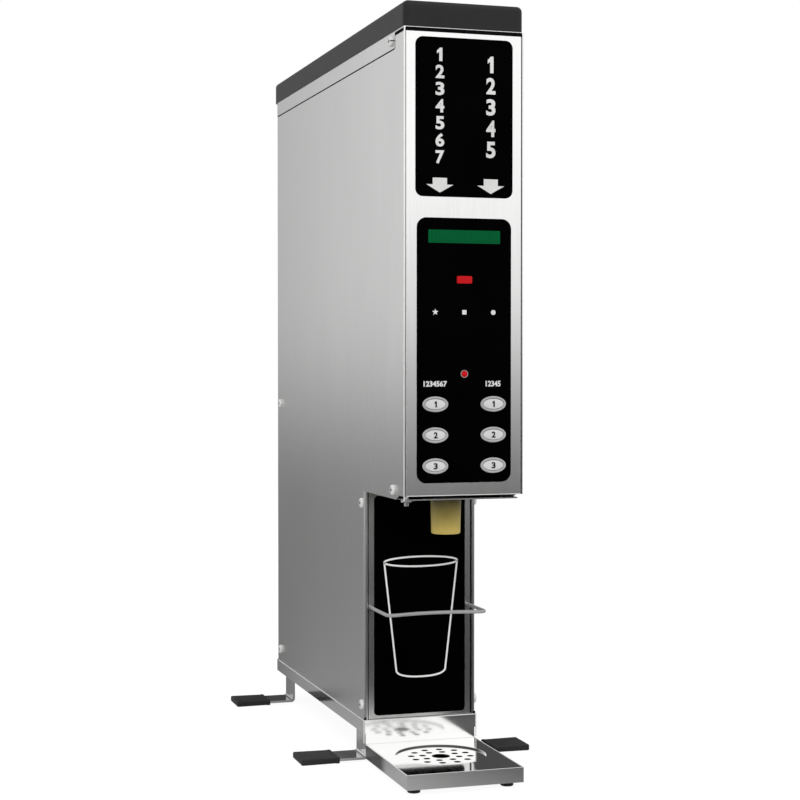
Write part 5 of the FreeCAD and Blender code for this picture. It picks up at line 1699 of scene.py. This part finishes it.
    def shell(self) -> None:
        """Light the shell: bright above the horizon, dark below it, with the cards on its floor.

        Formula: the brightness is a mix of the level above and the level below the horizon, by the
        height with the lean added to it. Each card adds its level, which falls from its inner to
        its outer radius.
        """
        graph = Graph("studio_shell")
        across, along, up = graph.axes()
        front = graph.math("MULTIPLY", along, -1.0)
        angle = graph.math("ARCTAN2", across, front)
        above = self.round_ramp(graph, angle, self.sky)
        below = self.round_ramp(graph, angle, self.ground)
        lean = self.round_ramp(graph, angle, self.lean)
        height = graph.math("MULTIPLY_ADD", lean, self.brightest, up)
        share = graph.add("MapRange", {
            "Value": height, "From Min": self.shell_z + self.rise[0],
            "From Max": self.shell_z + self.rise[1],
            "To Min": 0.0, "To Max": 1.0}, interpolation_type="SMOOTHSTEP").outputs[0]
        colour = graph.mix(share, below, above)
        for card in self.cards:
            away = graph.away((card.x, card.y, 0.0))
            light = graph.between(away, card.level / self.brightest, 0.0, card.inner, card.outer)
            colour = graph.mix(1.0, colour, light, "ADD")
        glow = graph.add("Emission", {"Color": colour, "Strength": self.brightest}).outputs[0]
        dome = self.dome()
        dome.data.materials.append(graph.finish(glow))
        graph.material.cycles.emission_sampling = "NONE"

    def camera(self) -> None:
        """Set up the camera."""
        lens = bpy.data.cameras.new("camera")
        lens.lens = self.lens
        lens.sensor_width = 36.0
        lens.clip_end = 100.0
        holder = bpy.data.objects.new("camera", lens)
        holder.location = self.camera_place
        holder.rotation_euler = Euler([math.radians(turn) for turn in self.camera_turn])
        bpy.context.scene.collection.objects.link(holder)
        bpy.context.scene.camera = holder

    def build(self) -> None:
        """Build the whole studio."""
        bpy.context.scene.view_settings.view_transform = "Standard"
        self.camera()
        self.world()
        self.floor()
        self.shell()
        for lamp in self.lamps:
            lamp.hang()


def main() -> None:
    """Build the studio, dress the frame and build every fine piece."""
    logging.basicConfig(level=logging.INFO, format="%(name)s: %(message)s")
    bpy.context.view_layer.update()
    clothes = Wardrobe()
    Studio().build()
    LOG.info("%d nodes dressed", clothes.dress_nodes())
    for group in (UpperLabel(), KeyPad(), SplashPrint(), CupGuide(), Seals(), Folds(), Thumbscrew(),
                  Spout(), Boots()):
        group.build(clothes)


if __name__ == "__main__":
    main()
